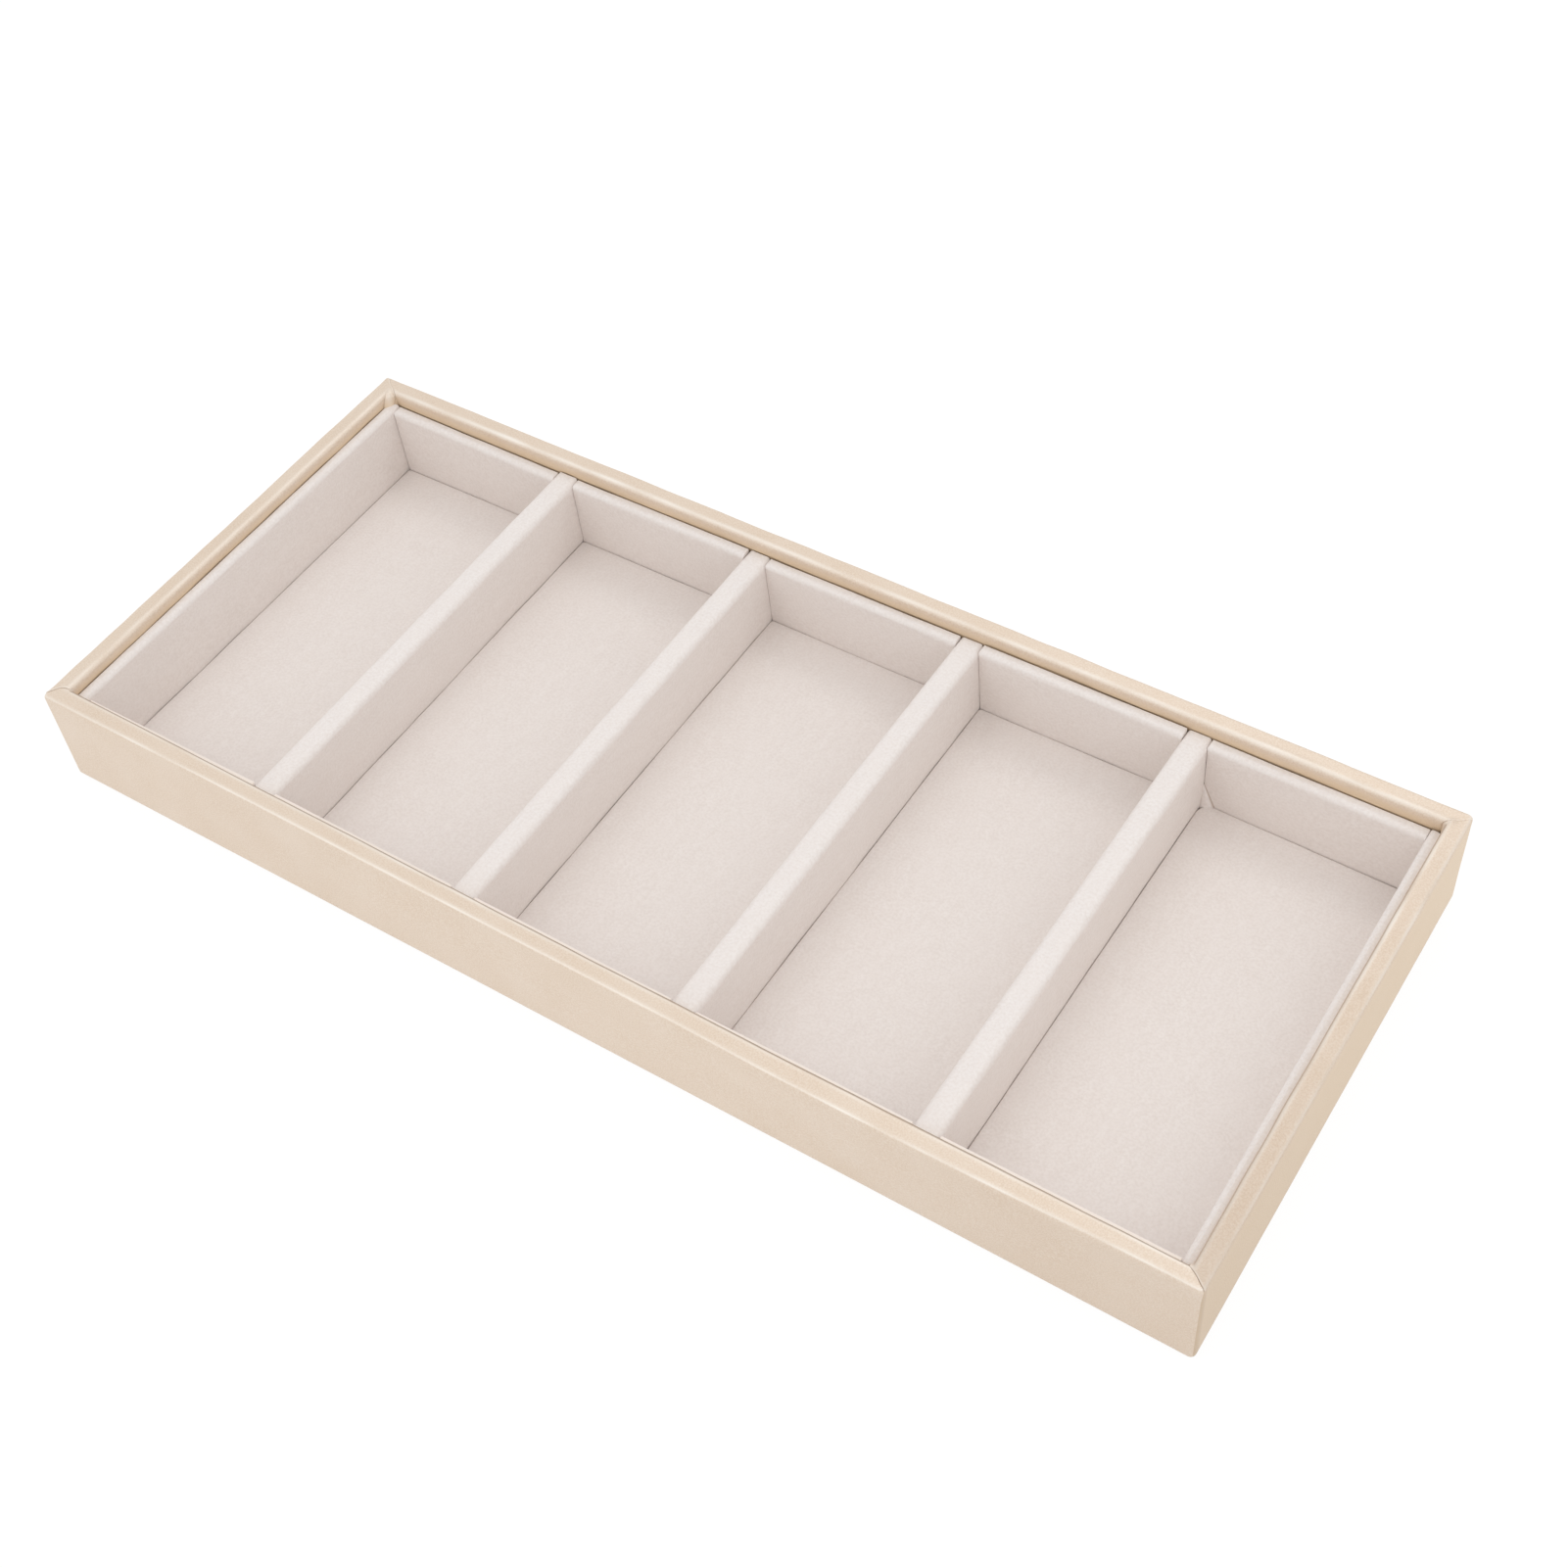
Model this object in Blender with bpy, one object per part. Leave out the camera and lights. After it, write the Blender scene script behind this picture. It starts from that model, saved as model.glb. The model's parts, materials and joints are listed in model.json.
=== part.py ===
"""Glasses tray: board walls in a leather wrap, five suede-lined compartments and four lift-out dividers.

The frame is +Z up with the origin under the middle of the tray, on the surface that it stands on.
X runs along the tray and Y from the front wall to the back wall. Lengths are in metres.
"""

import math

import bmesh
import bpy

# Overall size of the tray
CASE_WIDTH = 0.420
CASE_DEPTH = 0.181
CASE_HEIGHT = 0.040

# Gap between faces that are glued to each other or rest on each other
FIT = 0.0003

# Board shell
WALL_BOARD = 0.0045
BASE_BOARD = 0.0025

# Leather wrap: one strip round the walls, turned in over the rim and turned under the base
LEATHER = 0.0008
RIM_ROUND = 0.0016
EDGE_ROUND = 0.0010
CORNER_ROUND = 0.0018
TURN_IN = 0.0115
TURN_UNDER = 0.012
SEAM = 0.0003

# Sheet that closes the underside
BOTTOM_SHEET = 0.0006
BOTTOM_SHEET_INSET = 0.003
BOTTOM_SHEET_ROUND = 0.002

# Cards and boards inside the suede covers, and the suede itself
SUEDE = 0.0006
LINER_CARD = 0.0018
SIDE_LINER_CARD = 0.0032
FLOOR_CARD = 0.0016
DIVIDER_BOARD = 0.0069
LINER_ROUND = 0.0013
DIVIDER_ROUND = 0.0020
FLOOR_ROUND = 0.0008

# How far the liners and the dividers end below the rim, and how loosely a divider sits in its slot
LINER_DROP = 0.005
SLOT_CLEARANCE = 0.0004

COMPARTMENTS = 5

# Facets of a bend in a profile and of an upright corner
BEND_STEPS = 3
CORNER_STEPS = 3

# Cutters run past what they cut by this much, and points closer than the weld distance are one point
OVERRUN = 0.001
WELD = 0.000002

# What a suede cover adds to each face of its card
COVER = SUEDE + FIT

# Levels, from the underside up
LEATHER_BOTTOM = BOTTOM_SHEET + FIT
BOARD_BOTTOM = LEATHER_BOTTOM + LEATHER + FIT
BASE_TOP = BOARD_BOTTOM + BASE_BOARD
FLOOR_BOTTOM = BASE_TOP + FIT
FLOOR_TOP = FLOOR_BOTTOM + FLOOR_CARD + COVER
FLAP_BOTTOM = CASE_HEIGHT - TURN_IN
LINER_TOP = CASE_HEIGHT - LINER_DROP
BOARD_TOP = CASE_HEIGHT - LEATHER - FIT

# Insets, from the outer faces of the tray inwards
BOARD_OUTER = LEATHER + FIT
BOARD_INNER = BOARD_OUTER + WALL_BOARD
RIM_WIDTH = BOARD_INNER + FIT + LEATHER

# Thickness of each covered piece
LINER = LINER_CARD + 2 * COVER
SIDE_LINER = SIDE_LINER_CARD + 2 * COVER
DIVIDER = DIVIDER_BOARD + 2 * COVER

# Half the room between the side liners at the floor, and the share of it that each compartment gets
INSIDE_HALF_WIDTH = CASE_WIDTH / 2 - BOARD_INNER - FIT - SIDE_LINER
INSIDE_HALF_DEPTH = CASE_DEPTH / 2 - BOARD_INNER - FIT - LINER
COMPARTMENT = (2 * INSIDE_HALF_WIDTH - (COMPARTMENTS - 1) * DIVIDER) / COMPARTMENTS
PITCH = COMPARTMENT + DIVIDER

# Signs of the four corners of a rectangle, anticlockwise from the back right
CORNERS = ((1, 1), (-1, 1), (-1, -1), (1, -1))
QUARTER = math.pi / 2

# Finish of each material: colour, roughness and metallic value
FINISHES = {
    "pearl_leatherette": ((0.78, 0.63, 0.49), 0.42, 0.15),
    "suede": ((0.78, 0.69, 0.65), 0.95, 0.0),
    "greyboard": ((0.36, 0.34, 0.31), 0.9, 0.0),
    "bottom_paper": ((0.62, 0.52, 0.44), 0.85, 0.0),
}


def lean(z):
    """How far a liner leans in from the board at height z.

    Its foot stands against the bare board and its back rests on the lower edge of the leather turned in
    over the rim, so it leans in by the leather's thickness and a gap at that edge.
    """
    return (LEATHER + FIT) * (z - FLOOR_BOTTOM) / (FLAP_BOTTOM - FLOOR_BOTTOM)


def bend(inset, z, radius, first, last):
    """A rounded corner of a profile, given its sharp corner.

    Angles count quarter turns: at 0 the surface faces out of the tray and at 1 it faces up.
    """
    middle = (first + last) * QUARTER / 2
    centre_inset = inset + math.sqrt(2) * radius * math.cos(middle)
    centre_z = z - math.sqrt(2) * radius * math.sin(middle)
    turns = [QUARTER * (first + (last - first) * step / BEND_STEPS) for step in range(BEND_STEPS + 1)]
    return [(centre_inset - radius * math.cos(a), centre_z + radius * math.sin(a)) for a in turns]


def round_of_points(width, depth, inset, corner):
    """One round of a rectangle drawn in by inset, whose rounded corners keep their centres."""
    radius = max(corner - inset, 0)
    half_width = width / 2 - inset - radius
    half_depth = depth / 2 - inset - radius
    points = []
    for quarter, (side_x, side_y) in enumerate(CORNERS):
        for step in range(CORNER_STEPS + 1):
            angle = QUARTER * (quarter + step / CORNER_STEPS)
            x = side_x * half_width + radius * math.cos(angle)
            y = side_y * half_depth + radius * math.sin(angle)
            points.append((x, y))
    return points


def carried_round(width, depth, profile, corner, form):
    """A bmesh of a profile carried round a rectangle.

    The profile is a list of (inset, z). The form is "band" for a closed profile, "solid" for a body
    capped at its foot and head, and "cover" for a surface that is open at its foot.
    """
    bm = bmesh.new()
    rings = []
    for inset, z in profile:
        points = round_of_points(width, depth, inset, corner)
        rings.append([bm.verts.new((x, y, z)) for x, y in points])
    pairs = list(zip(rings, rings[1:]))
    if form == "band":
        pairs.append((rings[-1], rings[0]))
    for lower, upper in pairs:
        for i in range(len(lower)):
            j = (i + 1) % len(lower)
            bm.faces.new((lower[i], lower[j], upper[j], upper[i]))
    if form != "band":
        bm.faces.new(rings[-1])
    if form == "solid":
        bm.faces.new(list(reversed(rings[0])))
    bmesh.ops.remove_doubles(bm, verts=bm.verts, dist=WELD)
    bmesh.ops.recalc_face_normals(bm, faces=bm.faces)
    return bm


def block(foot, head, height, rounding, corner, form):
    """A bmesh of a block with rounded upright and top edges, whose head may lie aside of its foot.

    Foot and head are rectangles (left, right, front, back). The mesh's origin is the middle of the foot.
    """
    left, right, front, back = foot
    profile = [(0, 0)] + bend(0, height, rounding, 0, 1)
    bm = carried_round(right - left, back - front, profile, corner, form)
    middle_x = (left + right) / 2
    middle_y = (front + back) / 2
    for vert in bm.verts:
        across = (vert.co.x + middle_x - left) / (right - left)
        along = (vert.co.y + middle_y - front) / (back - front)
        up = vert.co.z / height
        vert.co.x += up * ((head[0] - left) * (1 - across) + (head[1] - right) * across)
        vert.co.y += up * ((head[2] - front) * (1 - along) + (head[3] - back) * along)
    return bm


def material(name):
    """The named finish as a Principled material, made once."""
    found = bpy.data.materials.get(name)
    if found:
        return found
    colour, roughness, metallic = FINISHES[name]
    made = bpy.data.materials.new(name)
    made.use_nodes = True
    shader = made.node_tree.nodes["Principled BSDF"]
    shader.inputs["Base Color"].default_value = (*colour, 1)
    shader.inputs["Roughness"].default_value = roughness
    shader.inputs["Metallic"].default_value = metallic
    return made


def piece(name, bm, place, finish, parent):
    """Turns a bmesh into a named object at its place, under its parent."""
    mesh = bpy.data.meshes.new(name)
    bm.to_mesh(mesh)
    bm.free()
    mesh.materials.append(material(finish))
    mesh.shade_smooth()
    mesh.set_sharp_from_angle(angle=math.radians(40))
    obj = bpy.data.objects.new(name, mesh)
    bpy.context.scene.collection.objects.link(obj)
    obj.parent = parent
    obj.location = [a - b for a, b in zip(place, parent.location)]
    return obj


def empty(name, place):
    """A point that carries pieces."""
    obj = bpy.data.objects.new(name, None)
    obj.location = place
    bpy.context.scene.collection.objects.link(obj)
    return obj


def inset_all(rectangle, amount):
    """The rectangle with each side moved in by the amount."""
    left, right, front, back = rectangle
    return (left + amount, right - amount, front + amount, back - amount)


def board(name, rectangle, bottom, top, rounding, corner, parent):
    """An upright or flat plain board."""
    bm = block(rectangle, rectangle, top - bottom, rounding, corner, "solid")
    place = ((rectangle[0] + rectangle[1]) / 2, (rectangle[2] + rectangle[3]) / 2, bottom)
    return piece(name, bm, place, "greyboard", parent)


def covered(card_name, suede_name, foot, head, top, rounding, parent):
    """A card that stands on the base inside a suede cover, which is folded over its top and its sides."""
    place = ((foot[0] + foot[1]) / 2, (foot[2] + foot[3]) / 2, FLOOR_BOTTOM)
    height = top - FLOOR_BOTTOM
    outside = block(foot, head, height, rounding, rounding, "cover")
    suede = piece(suede_name, outside, place, "suede", parent)
    folded = suede.modifiers.new("suede_thickness", "SOLIDIFY")
    folded.thickness = SUEDE
    folded.offset = -1
    folded.use_even_offset = True
    inner_foot = inset_all(foot, COVER)
    inner_head = inset_all(head, COVER)
    inner_rounding = max(rounding - COVER, 0)
    inside = block(inner_foot, inner_head, height - COVER, inner_rounding, inner_rounding, "solid")
    piece(card_name, inside, place, "greyboard", parent)


def wrap_profile():
    """The leather's section, from the edge turned under the base, up the outside and over the rim."""
    inner_edge = max(EDGE_ROUND - LEATHER, 0)
    inner_rim = max(RIM_ROUND - LEATHER, 0)
    under = LEATHER_BOTTOM + LEATHER
    skin = CASE_HEIGHT - LEATHER
    outside = [(TURN_UNDER, LEATHER_BOTTOM)]
    outside += bend(0, LEATHER_BOTTOM, EDGE_ROUND, -1, 0)
    outside += bend(0, CASE_HEIGHT, EDGE_ROUND, 0, 1)
    outside += bend(RIM_WIDTH, CASE_HEIGHT, RIM_ROUND, 1, 2)
    outside += [(RIM_WIDTH, FLAP_BOTTOM)]
    inside = [(RIM_WIDTH - LEATHER, FLAP_BOTTOM)]
    inside += bend(RIM_WIDTH - LEATHER, skin, inner_rim, 2, 1)
    inside += bend(LEATHER, skin, inner_edge, 1, 0)
    inside += bend(LEATHER, under, inner_edge, 0, -1)
    inside += [(TURN_UNDER, under)]
    return outside + inside


def seam_cutter(name, outline, side_x, side_y, parent):
    """A thin upright plate on the diagonal of one corner, which parts the leather there.

    The outline is a list of (inset, z) in the plane of the diagonal.
    """
    bm = bmesh.new()
    for_side = []
    for offset in (-SEAM / 2, SEAM / 2):
        shift_x = -side_y * offset / math.sqrt(2)
        shift_y = side_x * offset / math.sqrt(2)
        verts = []
        for inset, z in outline:
            x = side_x * (CASE_WIDTH / 2 - inset) + shift_x
            y = side_y * (CASE_DEPTH / 2 - inset) + shift_y
            verts.append(bm.verts.new((x, y, z)))
        for_side.append(verts)
    near, far = for_side
    bm.faces.new(near)
    bm.faces.new(list(reversed(far)))
    for i in range(len(near)):
        j = (i + 1) % len(near)
        bm.faces.new((near[j], near[i], far[i], far[j]))
    bmesh.ops.recalc_face_normals(bm, faces=bm.faces)
    cutter = piece(name, bm, (0, 0, 0), "pearl_leatherette", parent)
    cutter.hide_render = True
    cutter.display_type = "WIRE"
    return cutter


def rim_seam_outline():
    """Parts the skin on the rim from corner to corner, and the whole of the leather turned in below it."""
    skin = CASE_HEIGHT - LEATHER - FIT / 2
    top = CASE_HEIGHT + OVERRUN
    inner = RIM_WIDTH + OVERRUN
    flap = RIM_WIDTH - LEATHER - FIT / 2
    foot = FLAP_BOTTOM - OVERRUN
    return [(-OVERRUN, skin), (-OVERRUN, top), (inner, top), (inner, foot), (flap, foot), (flap, skin)]


def under_seam_outline():
    """Parts the leather turned under the base, as far out as the upright corner's centre."""
    top = LEATHER_BOTTOM + LEATHER + FIT / 2
    foot = LEATHER_BOTTOM - OVERRUN
    return [(CORNER_ROUND, foot), (CORNER_ROUND, top), (TURN_UNDER + OVERRUN, top), (TURN_UNDER + OVERRUN, foot)]


def end_joint_outline():
    """Parts the leather from top to bottom where the two ends of the strip meet."""
    top = CASE_HEIGHT + OVERRUN
    foot = LEATHER_BOTTOM - OVERRUN
    inner = TURN_UNDER + OVERRUN
    return [(-OVERRUN, foot), (-OVERRUN, top), (inner, top), (inner, foot)]


def add_leather_wrap(parent):
    """One strip round the walls with mitred corners on the rim; its ends meet at the back left corner."""
    bm = carried_round(CASE_WIDTH, CASE_DEPTH, wrap_profile(), CORNER_ROUND, "band")
    wrap = piece("leather_wrap", bm, (0, 0, 0), "pearl_leatherette", parent)
    outlines = []
    for side_x, side_y in CORNERS:
        if (side_x, side_y) == (-1, 1):
            outlines.append((side_x, side_y, end_joint_outline()))
        else:
            outlines.append((side_x, side_y, rim_seam_outline()))
            outlines.append((side_x, side_y, under_seam_outline()))
    for number, (side_x, side_y, outline) in enumerate(outlines, 1):
        name = f"seam_cutter_{number}"
        cut = wrap.modifiers.new(name, "BOOLEAN")
        cut.operation = "DIFFERENCE"
        cut.solver = "EXACT"
        cut.object = seam_cutter(name, outline, side_x, side_y, parent)


def add_board_shell(parent):
    """The four wall boards round the base board, and the sheet under them."""
    out_x = CASE_WIDTH / 2 - BOARD_OUTER
    out_y = CASE_DEPTH / 2 - BOARD_OUTER
    in_x = CASE_WIDTH / 2 - BOARD_INNER
    in_y = CASE_DEPTH / 2 - BOARD_INNER
    corner = max(CORNER_ROUND - BOARD_OUTER, 0)
    rim = max(min(RIM_ROUND - LEATHER - FIT, corner), 0)
    long_walls = {"back_wall_board": 1, "front_wall_board": -1}
    for name, side in long_walls.items():
        front, back = sorted((side * in_y, side * out_y))
        board(name, (-out_x, out_x, front, back), BOARD_BOTTOM, BOARD_TOP, rim, corner, parent)
    short_walls = {"left_wall_board": -1, "right_wall_board": 1}
    for name, side in short_walls.items():
        left, right = sorted((side * in_x, side * out_x))
        rectangle = (left, right, FIT - in_y, in_y - FIT)
        board(name, rectangle, BOARD_BOTTOM, BOARD_TOP, rim, 0, parent)
    inside = inset_all((-in_x, in_x, -in_y, in_y), FIT)
    board("base_board", inside, BOARD_BOTTOM, BASE_TOP, 0, 0, parent)
    outline = (-CASE_WIDTH / 2, CASE_WIDTH / 2, -CASE_DEPTH / 2, CASE_DEPTH / 2)
    sheet = inset_all(outline, BOTTOM_SHEET_INSET)
    bm = block(sheet, sheet, BOTTOM_SHEET, 0, BOTTOM_SHEET_ROUND, "solid")
    piece("bottom_sheet", bm, (0, 0, 0), "bottom_paper", parent)


def compartment_sides(number):
    """The left and right side of a compartment at the floor, numbered from the left."""
    left = -INSIDE_HALF_WIDTH + (number - 1) * PITCH
    return left, left + COMPARTMENT


def add_side_liners(parent):
    """The liners on the short walls run the whole depth inside, from leather to leather."""
    end = CASE_DEPTH / 2 - RIM_WIDTH - FIT
    shift = lean(LINER_TOP)
    for name, side in {"left_liner": -1, "right_liner": 1}.items():
        near = side * INSIDE_HALF_WIDTH
        far = side * (INSIDE_HALF_WIDTH + SIDE_LINER)
        left, right = sorted((near, far))
        foot = (left, right, -end, end)
        head = (left - side * shift, right - side * shift, -end, end)
        covered(f"{name}_card", f"{name}_suede", foot, head, LINER_TOP, LINER_ROUND, parent)


def add_long_wall_liners(number, parent):
    """The liners of one compartment on the back and the front wall, between its two sides."""
    left, right = compartment_sides(number)
    shift = lean(LINER_TOP)
    foot_left = left + SLOT_CLEARANCE
    foot_right = right - SLOT_CLEARANCE
    head_left = foot_left
    head_right = foot_right
    if number == 1:
        foot_left = left + FIT
        head_left = foot_left + shift
    if number == COMPARTMENTS:
        foot_right = right - FIT
        head_right = foot_right - shift
    for name, side in {"back_liner": 1, "front_liner": -1}.items():
        near = side * INSIDE_HALF_DEPTH
        far = side * (INSIDE_HALF_DEPTH + LINER)
        front, back = sorted((near, far))
        foot = (foot_left, foot_right, front, back)
        head = (head_left, head_right, front - side * shift, back - side * shift)
        card_name = f"{name}_card_{number}"
        suede_name = f"{name}_suede_{number}"
        covered(card_name, suede_name, foot, head, LINER_TOP, LINER_ROUND, parent)


def add_floor_pad(number, parent):
    """The covered card on the floor of one compartment, clear of the liners that lean in over it."""
    left, right = compartment_sides(number)
    shift = lean(FLOOR_TOP) + FIT
    left += shift if number == 1 else SLOT_CLEARANCE
    right -= shift if number == COMPARTMENTS else SLOT_CLEARANCE
    half_depth = INSIDE_HALF_DEPTH - shift
    foot = (left, right, -half_depth, half_depth)
    covered(f"floor_card_{number}", f"floor_suede_{number}", foot, foot, FLOOR_TOP, FLOOR_ROUND, parent)


def add_divider(number):
    """A divider stands upright in the slots between the liners, and lifts straight out of them."""
    left = compartment_sides(number)[1]
    end = CASE_DEPTH / 2 - RIM_WIDTH - SLOT_CLEARANCE
    foot = (left, left + DIVIDER, -end, end)
    lift = empty(f"divider_{number}_lift", (left + DIVIDER / 2, 0, FLOOR_BOTTOM))
    covered(f"divider_board_{number}", f"divider_suede_{number}", foot, foot, LINER_TOP, DIVIDER_ROUND, lift)


def main():
    """Clears the scene and builds the tray."""
    for obj in list(bpy.data.objects):
        bpy.data.objects.remove(obj)
    case = empty("case", (0, 0, 0))
    add_board_shell(case)
    add_leather_wrap(case)
    add_side_liners(case)
    for number in range(1, COMPARTMENTS + 1):
        add_long_wall_liners(number, case)
        add_floor_pad(number, case)
    for number in range(1, COMPARTMENTS):
        add_divider(number)


main()
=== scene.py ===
"""Looks of the glasses tray: a pearl leatherette wrap over board walls, with suede-covered cards and dividers inside.

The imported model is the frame. The leatherette, the suede covers with the cards and boards in them, and the backing
sheet are rebuilt here as fine surfaces with the folds, soft edges and unevenness of hand work; the boards of the
shell keep their solids and get a finish of their own. Lengths are in metres and +Z is up, as in the frame.
"""

from __future__ import annotations

import json
import logging
import math
from dataclasses import dataclass
from enum import Enum

import bmesh
import bpy
import numpy as np
from mathutils import Matrix, Vector

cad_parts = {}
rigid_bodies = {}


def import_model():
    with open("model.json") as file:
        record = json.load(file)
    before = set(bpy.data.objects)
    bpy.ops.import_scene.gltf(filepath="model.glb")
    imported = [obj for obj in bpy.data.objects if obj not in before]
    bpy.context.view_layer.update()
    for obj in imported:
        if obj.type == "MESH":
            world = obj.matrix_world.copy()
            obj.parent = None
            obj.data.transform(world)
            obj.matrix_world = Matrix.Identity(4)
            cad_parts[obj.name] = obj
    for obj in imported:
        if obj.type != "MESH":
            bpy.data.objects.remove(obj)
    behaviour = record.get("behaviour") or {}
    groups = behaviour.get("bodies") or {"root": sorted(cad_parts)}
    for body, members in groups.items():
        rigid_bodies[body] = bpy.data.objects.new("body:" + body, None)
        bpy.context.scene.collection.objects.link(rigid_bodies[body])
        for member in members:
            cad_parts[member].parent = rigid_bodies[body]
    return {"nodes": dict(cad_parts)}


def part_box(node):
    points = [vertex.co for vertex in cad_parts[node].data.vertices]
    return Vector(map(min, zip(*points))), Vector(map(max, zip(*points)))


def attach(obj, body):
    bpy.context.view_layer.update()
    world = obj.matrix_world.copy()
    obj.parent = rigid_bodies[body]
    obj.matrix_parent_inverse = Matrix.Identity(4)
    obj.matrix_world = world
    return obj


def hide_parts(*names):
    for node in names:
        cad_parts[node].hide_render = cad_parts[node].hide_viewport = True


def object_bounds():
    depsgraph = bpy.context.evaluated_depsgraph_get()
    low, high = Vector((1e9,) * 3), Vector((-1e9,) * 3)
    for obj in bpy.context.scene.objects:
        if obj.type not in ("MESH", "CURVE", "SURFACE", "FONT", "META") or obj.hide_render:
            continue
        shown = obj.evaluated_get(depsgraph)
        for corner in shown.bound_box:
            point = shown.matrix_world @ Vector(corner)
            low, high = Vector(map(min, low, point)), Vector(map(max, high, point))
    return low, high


for startup_object in list(bpy.data.objects):
    bpy.data.objects.remove(startup_object)
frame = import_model()
CAD_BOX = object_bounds()

log = logging.getLogger("glasses_tray")
Array = np.ndarray
MM = 0.001
# The photograph's side in pixels, and the tray's length in metres that its camera was fitted with.
IMAGE_SIDE = 1601
TRAY_LENGTH = 0.42
# Points that lie closer together than this are merged.
WELD = 1e-7


class Slot(Enum):
    """Material slots of the record that new pieces belong to."""

    LEATHERETTE = "leatherette"
    SUEDE = "suede"
    CARD = "card"
    BOARD = "board"
    BACKING = "bottom_paper"


class Lap(Enum):
    """Which leatherette strip lies on top where two of them meet on a rim corner."""

    SHORT_WALL = 1
    LONG_WALL = -1


class Corner(Enum):
    """Corners of the tray in anticlockwise order, each with the signs of its place."""

    FRONT_RIGHT = (1, -1)
    BACK_RIGHT = (1, 1)
    BACK_LEFT = (-1, 1)
    FRONT_LEFT = (-1, -1)


# The signs of the corners' places in the order that blocks and outlines number them.
FROM_BACK_RIGHT = np.roll([corner.value for corner in Corner], -1, 0).astype(float)


# Sizes, colours and nodes


def mm(*sizes: float) -> tuple[float, ...]:
    """Sizes given in millimetres, in metres."""
    return tuple(size * MM for size in sizes)


def per_metre(size_mm: float) -> float:
    """The texture scale at which one feature of a pattern is about this many millimetres."""
    return 1 / (size_mm * MM)


def linear(code: str) -> tuple[float, float, float, float]:
    """An sRGB hex colour in linear light.

    Each channel c is c / 12.92 up to 0.04045, and ((c + 0.055) / 1.055) to the power 2.4 above that.

    Args:
        code: six hex digits, such as "E3D2BD".

    Returns:
        Linear red, green, blue and an alpha of 1.
    """
    channels = [int(code[i : i + 2], 16) / 255 for i in (0, 2, 4)]
    curved = [c / 12.92 if c <= 0.04045 else ((c + 0.055) / 1.055) ** 2.4 for c in channels]
    return (*curved, 1.0)


def put(tree: bpy.types.NodeTree, kind: str, inputs: dict | None = None, **settings: object) -> bpy.types.Node:
    """Adds a node to a tree, sets it up and links it.

    Args:
        tree: the node tree.
        kind: the node's type name.
        inputs: a value, or an output to link, by the input's name or number.
        **settings: the node's own properties by name.

    Returns:
        The new node.
    """
    node = tree.nodes.new(kind)
    for name, value in settings.items():
        setattr(node, name, value)
    for key, value in (inputs or {}).items():
        if isinstance(value, bpy.types.NodeSocket):
            tree.links.new(value, node.inputs[key])
        else:
            node.inputs[key].default_value = value
    return node


def new_material(name: str) -> bpy.types.Material:
    """Makes an empty node material.

    Args:
        name: its name.

    Returns:
        The material.
    """
    material = bpy.data.materials.new(name)
    material.use_nodes = True
    material.node_tree.nodes.clear()
    return material


def add_object(name: str, data: bpy.types.ID) -> bpy.types.Object:
    """Adds an object to the scene.

    Args:
        name: its name.
        data: the mesh, camera or lamp that it shows.

    Returns:
        The object.
    """
    added = bpy.data.objects.new(name, data)
    bpy.context.scene.collection.objects.link(added)
    return added


# Finishes


@dataclass(frozen=True)
class Finish:
    """What every finish shares: a name, and the way its colours lie over one another."""

    name: str

    def make(self) -> bpy.types.Material:
        """Builds the node material, with this finish's sockets on a Principled shader.

        Returns:
            The material.
        """
        material = new_material(self.name)
        tree = material.node_tree
        place = put(tree, "ShaderNodeTexCoord").outputs["Object"]
        shader = put(tree, "ShaderNodeBsdfPrincipled", self.sockets(tree, place))
        put(tree, "ShaderNodeOutputMaterial", {"Surface": shader.outputs[0]})
        return material

    def sockets(self, tree: bpy.types.NodeTree, place: bpy.types.NodeSocket) -> dict[str, object]:
        """The inputs of the Principled shader by name, which each kind of finish works out for itself."""
        raise NotImplementedError

    def coated(self, tree: bpy.types.NodeTree, colour: object, *coats: tuple) -> bpy.types.NodeSocket:
        """Lays colours over a ground one after another.

        Args:
            tree: the material's tree.
            colour: the ground, a colour or an output.
            *coats: for each, the pattern that it follows, the pattern's two ends, how much of the coat shows
                at each of these, and its hex colour.

        Returns:
            The output of the topmost colour.
        """
        for pattern, low, high, at_low, at_high, tint in coats:
            share = put(tree, "ShaderNodeMapRange", {0: pattern, 1: low, 2: high, 3: at_low, 4: at_high}).outputs[0]
            colour = put(tree, "ShaderNodeMix", {0: share, 6: colour, 7: linear(tint)}, data_type="RGBA").outputs[2]
        return colour

    def marked(self, tree: bpy.types.NodeTree, colour: object, *marks: str) -> bpy.types.NodeSocket:
        """Lays the finish's own colour for each mark over a ground, as strongly as the piece bears that mark.

        Args:
            tree: the material's tree.
            colour: the ground, a colour or an output.
            *marks: names of the piece's attributes, which are also the names of the colours.

        Returns:
            The output of the topmost colour.
        """
        for mark in marks:
            share = put(tree, "ShaderNodeAttribute", attribute_name=mark).outputs["Fac"]
            tint = linear(getattr(self, mark))
            colour = put(tree, "ShaderNodeMix", {0: share, 6: colour, 7: tint}, data_type="RGBA").outputs[2]
        return colour


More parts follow.
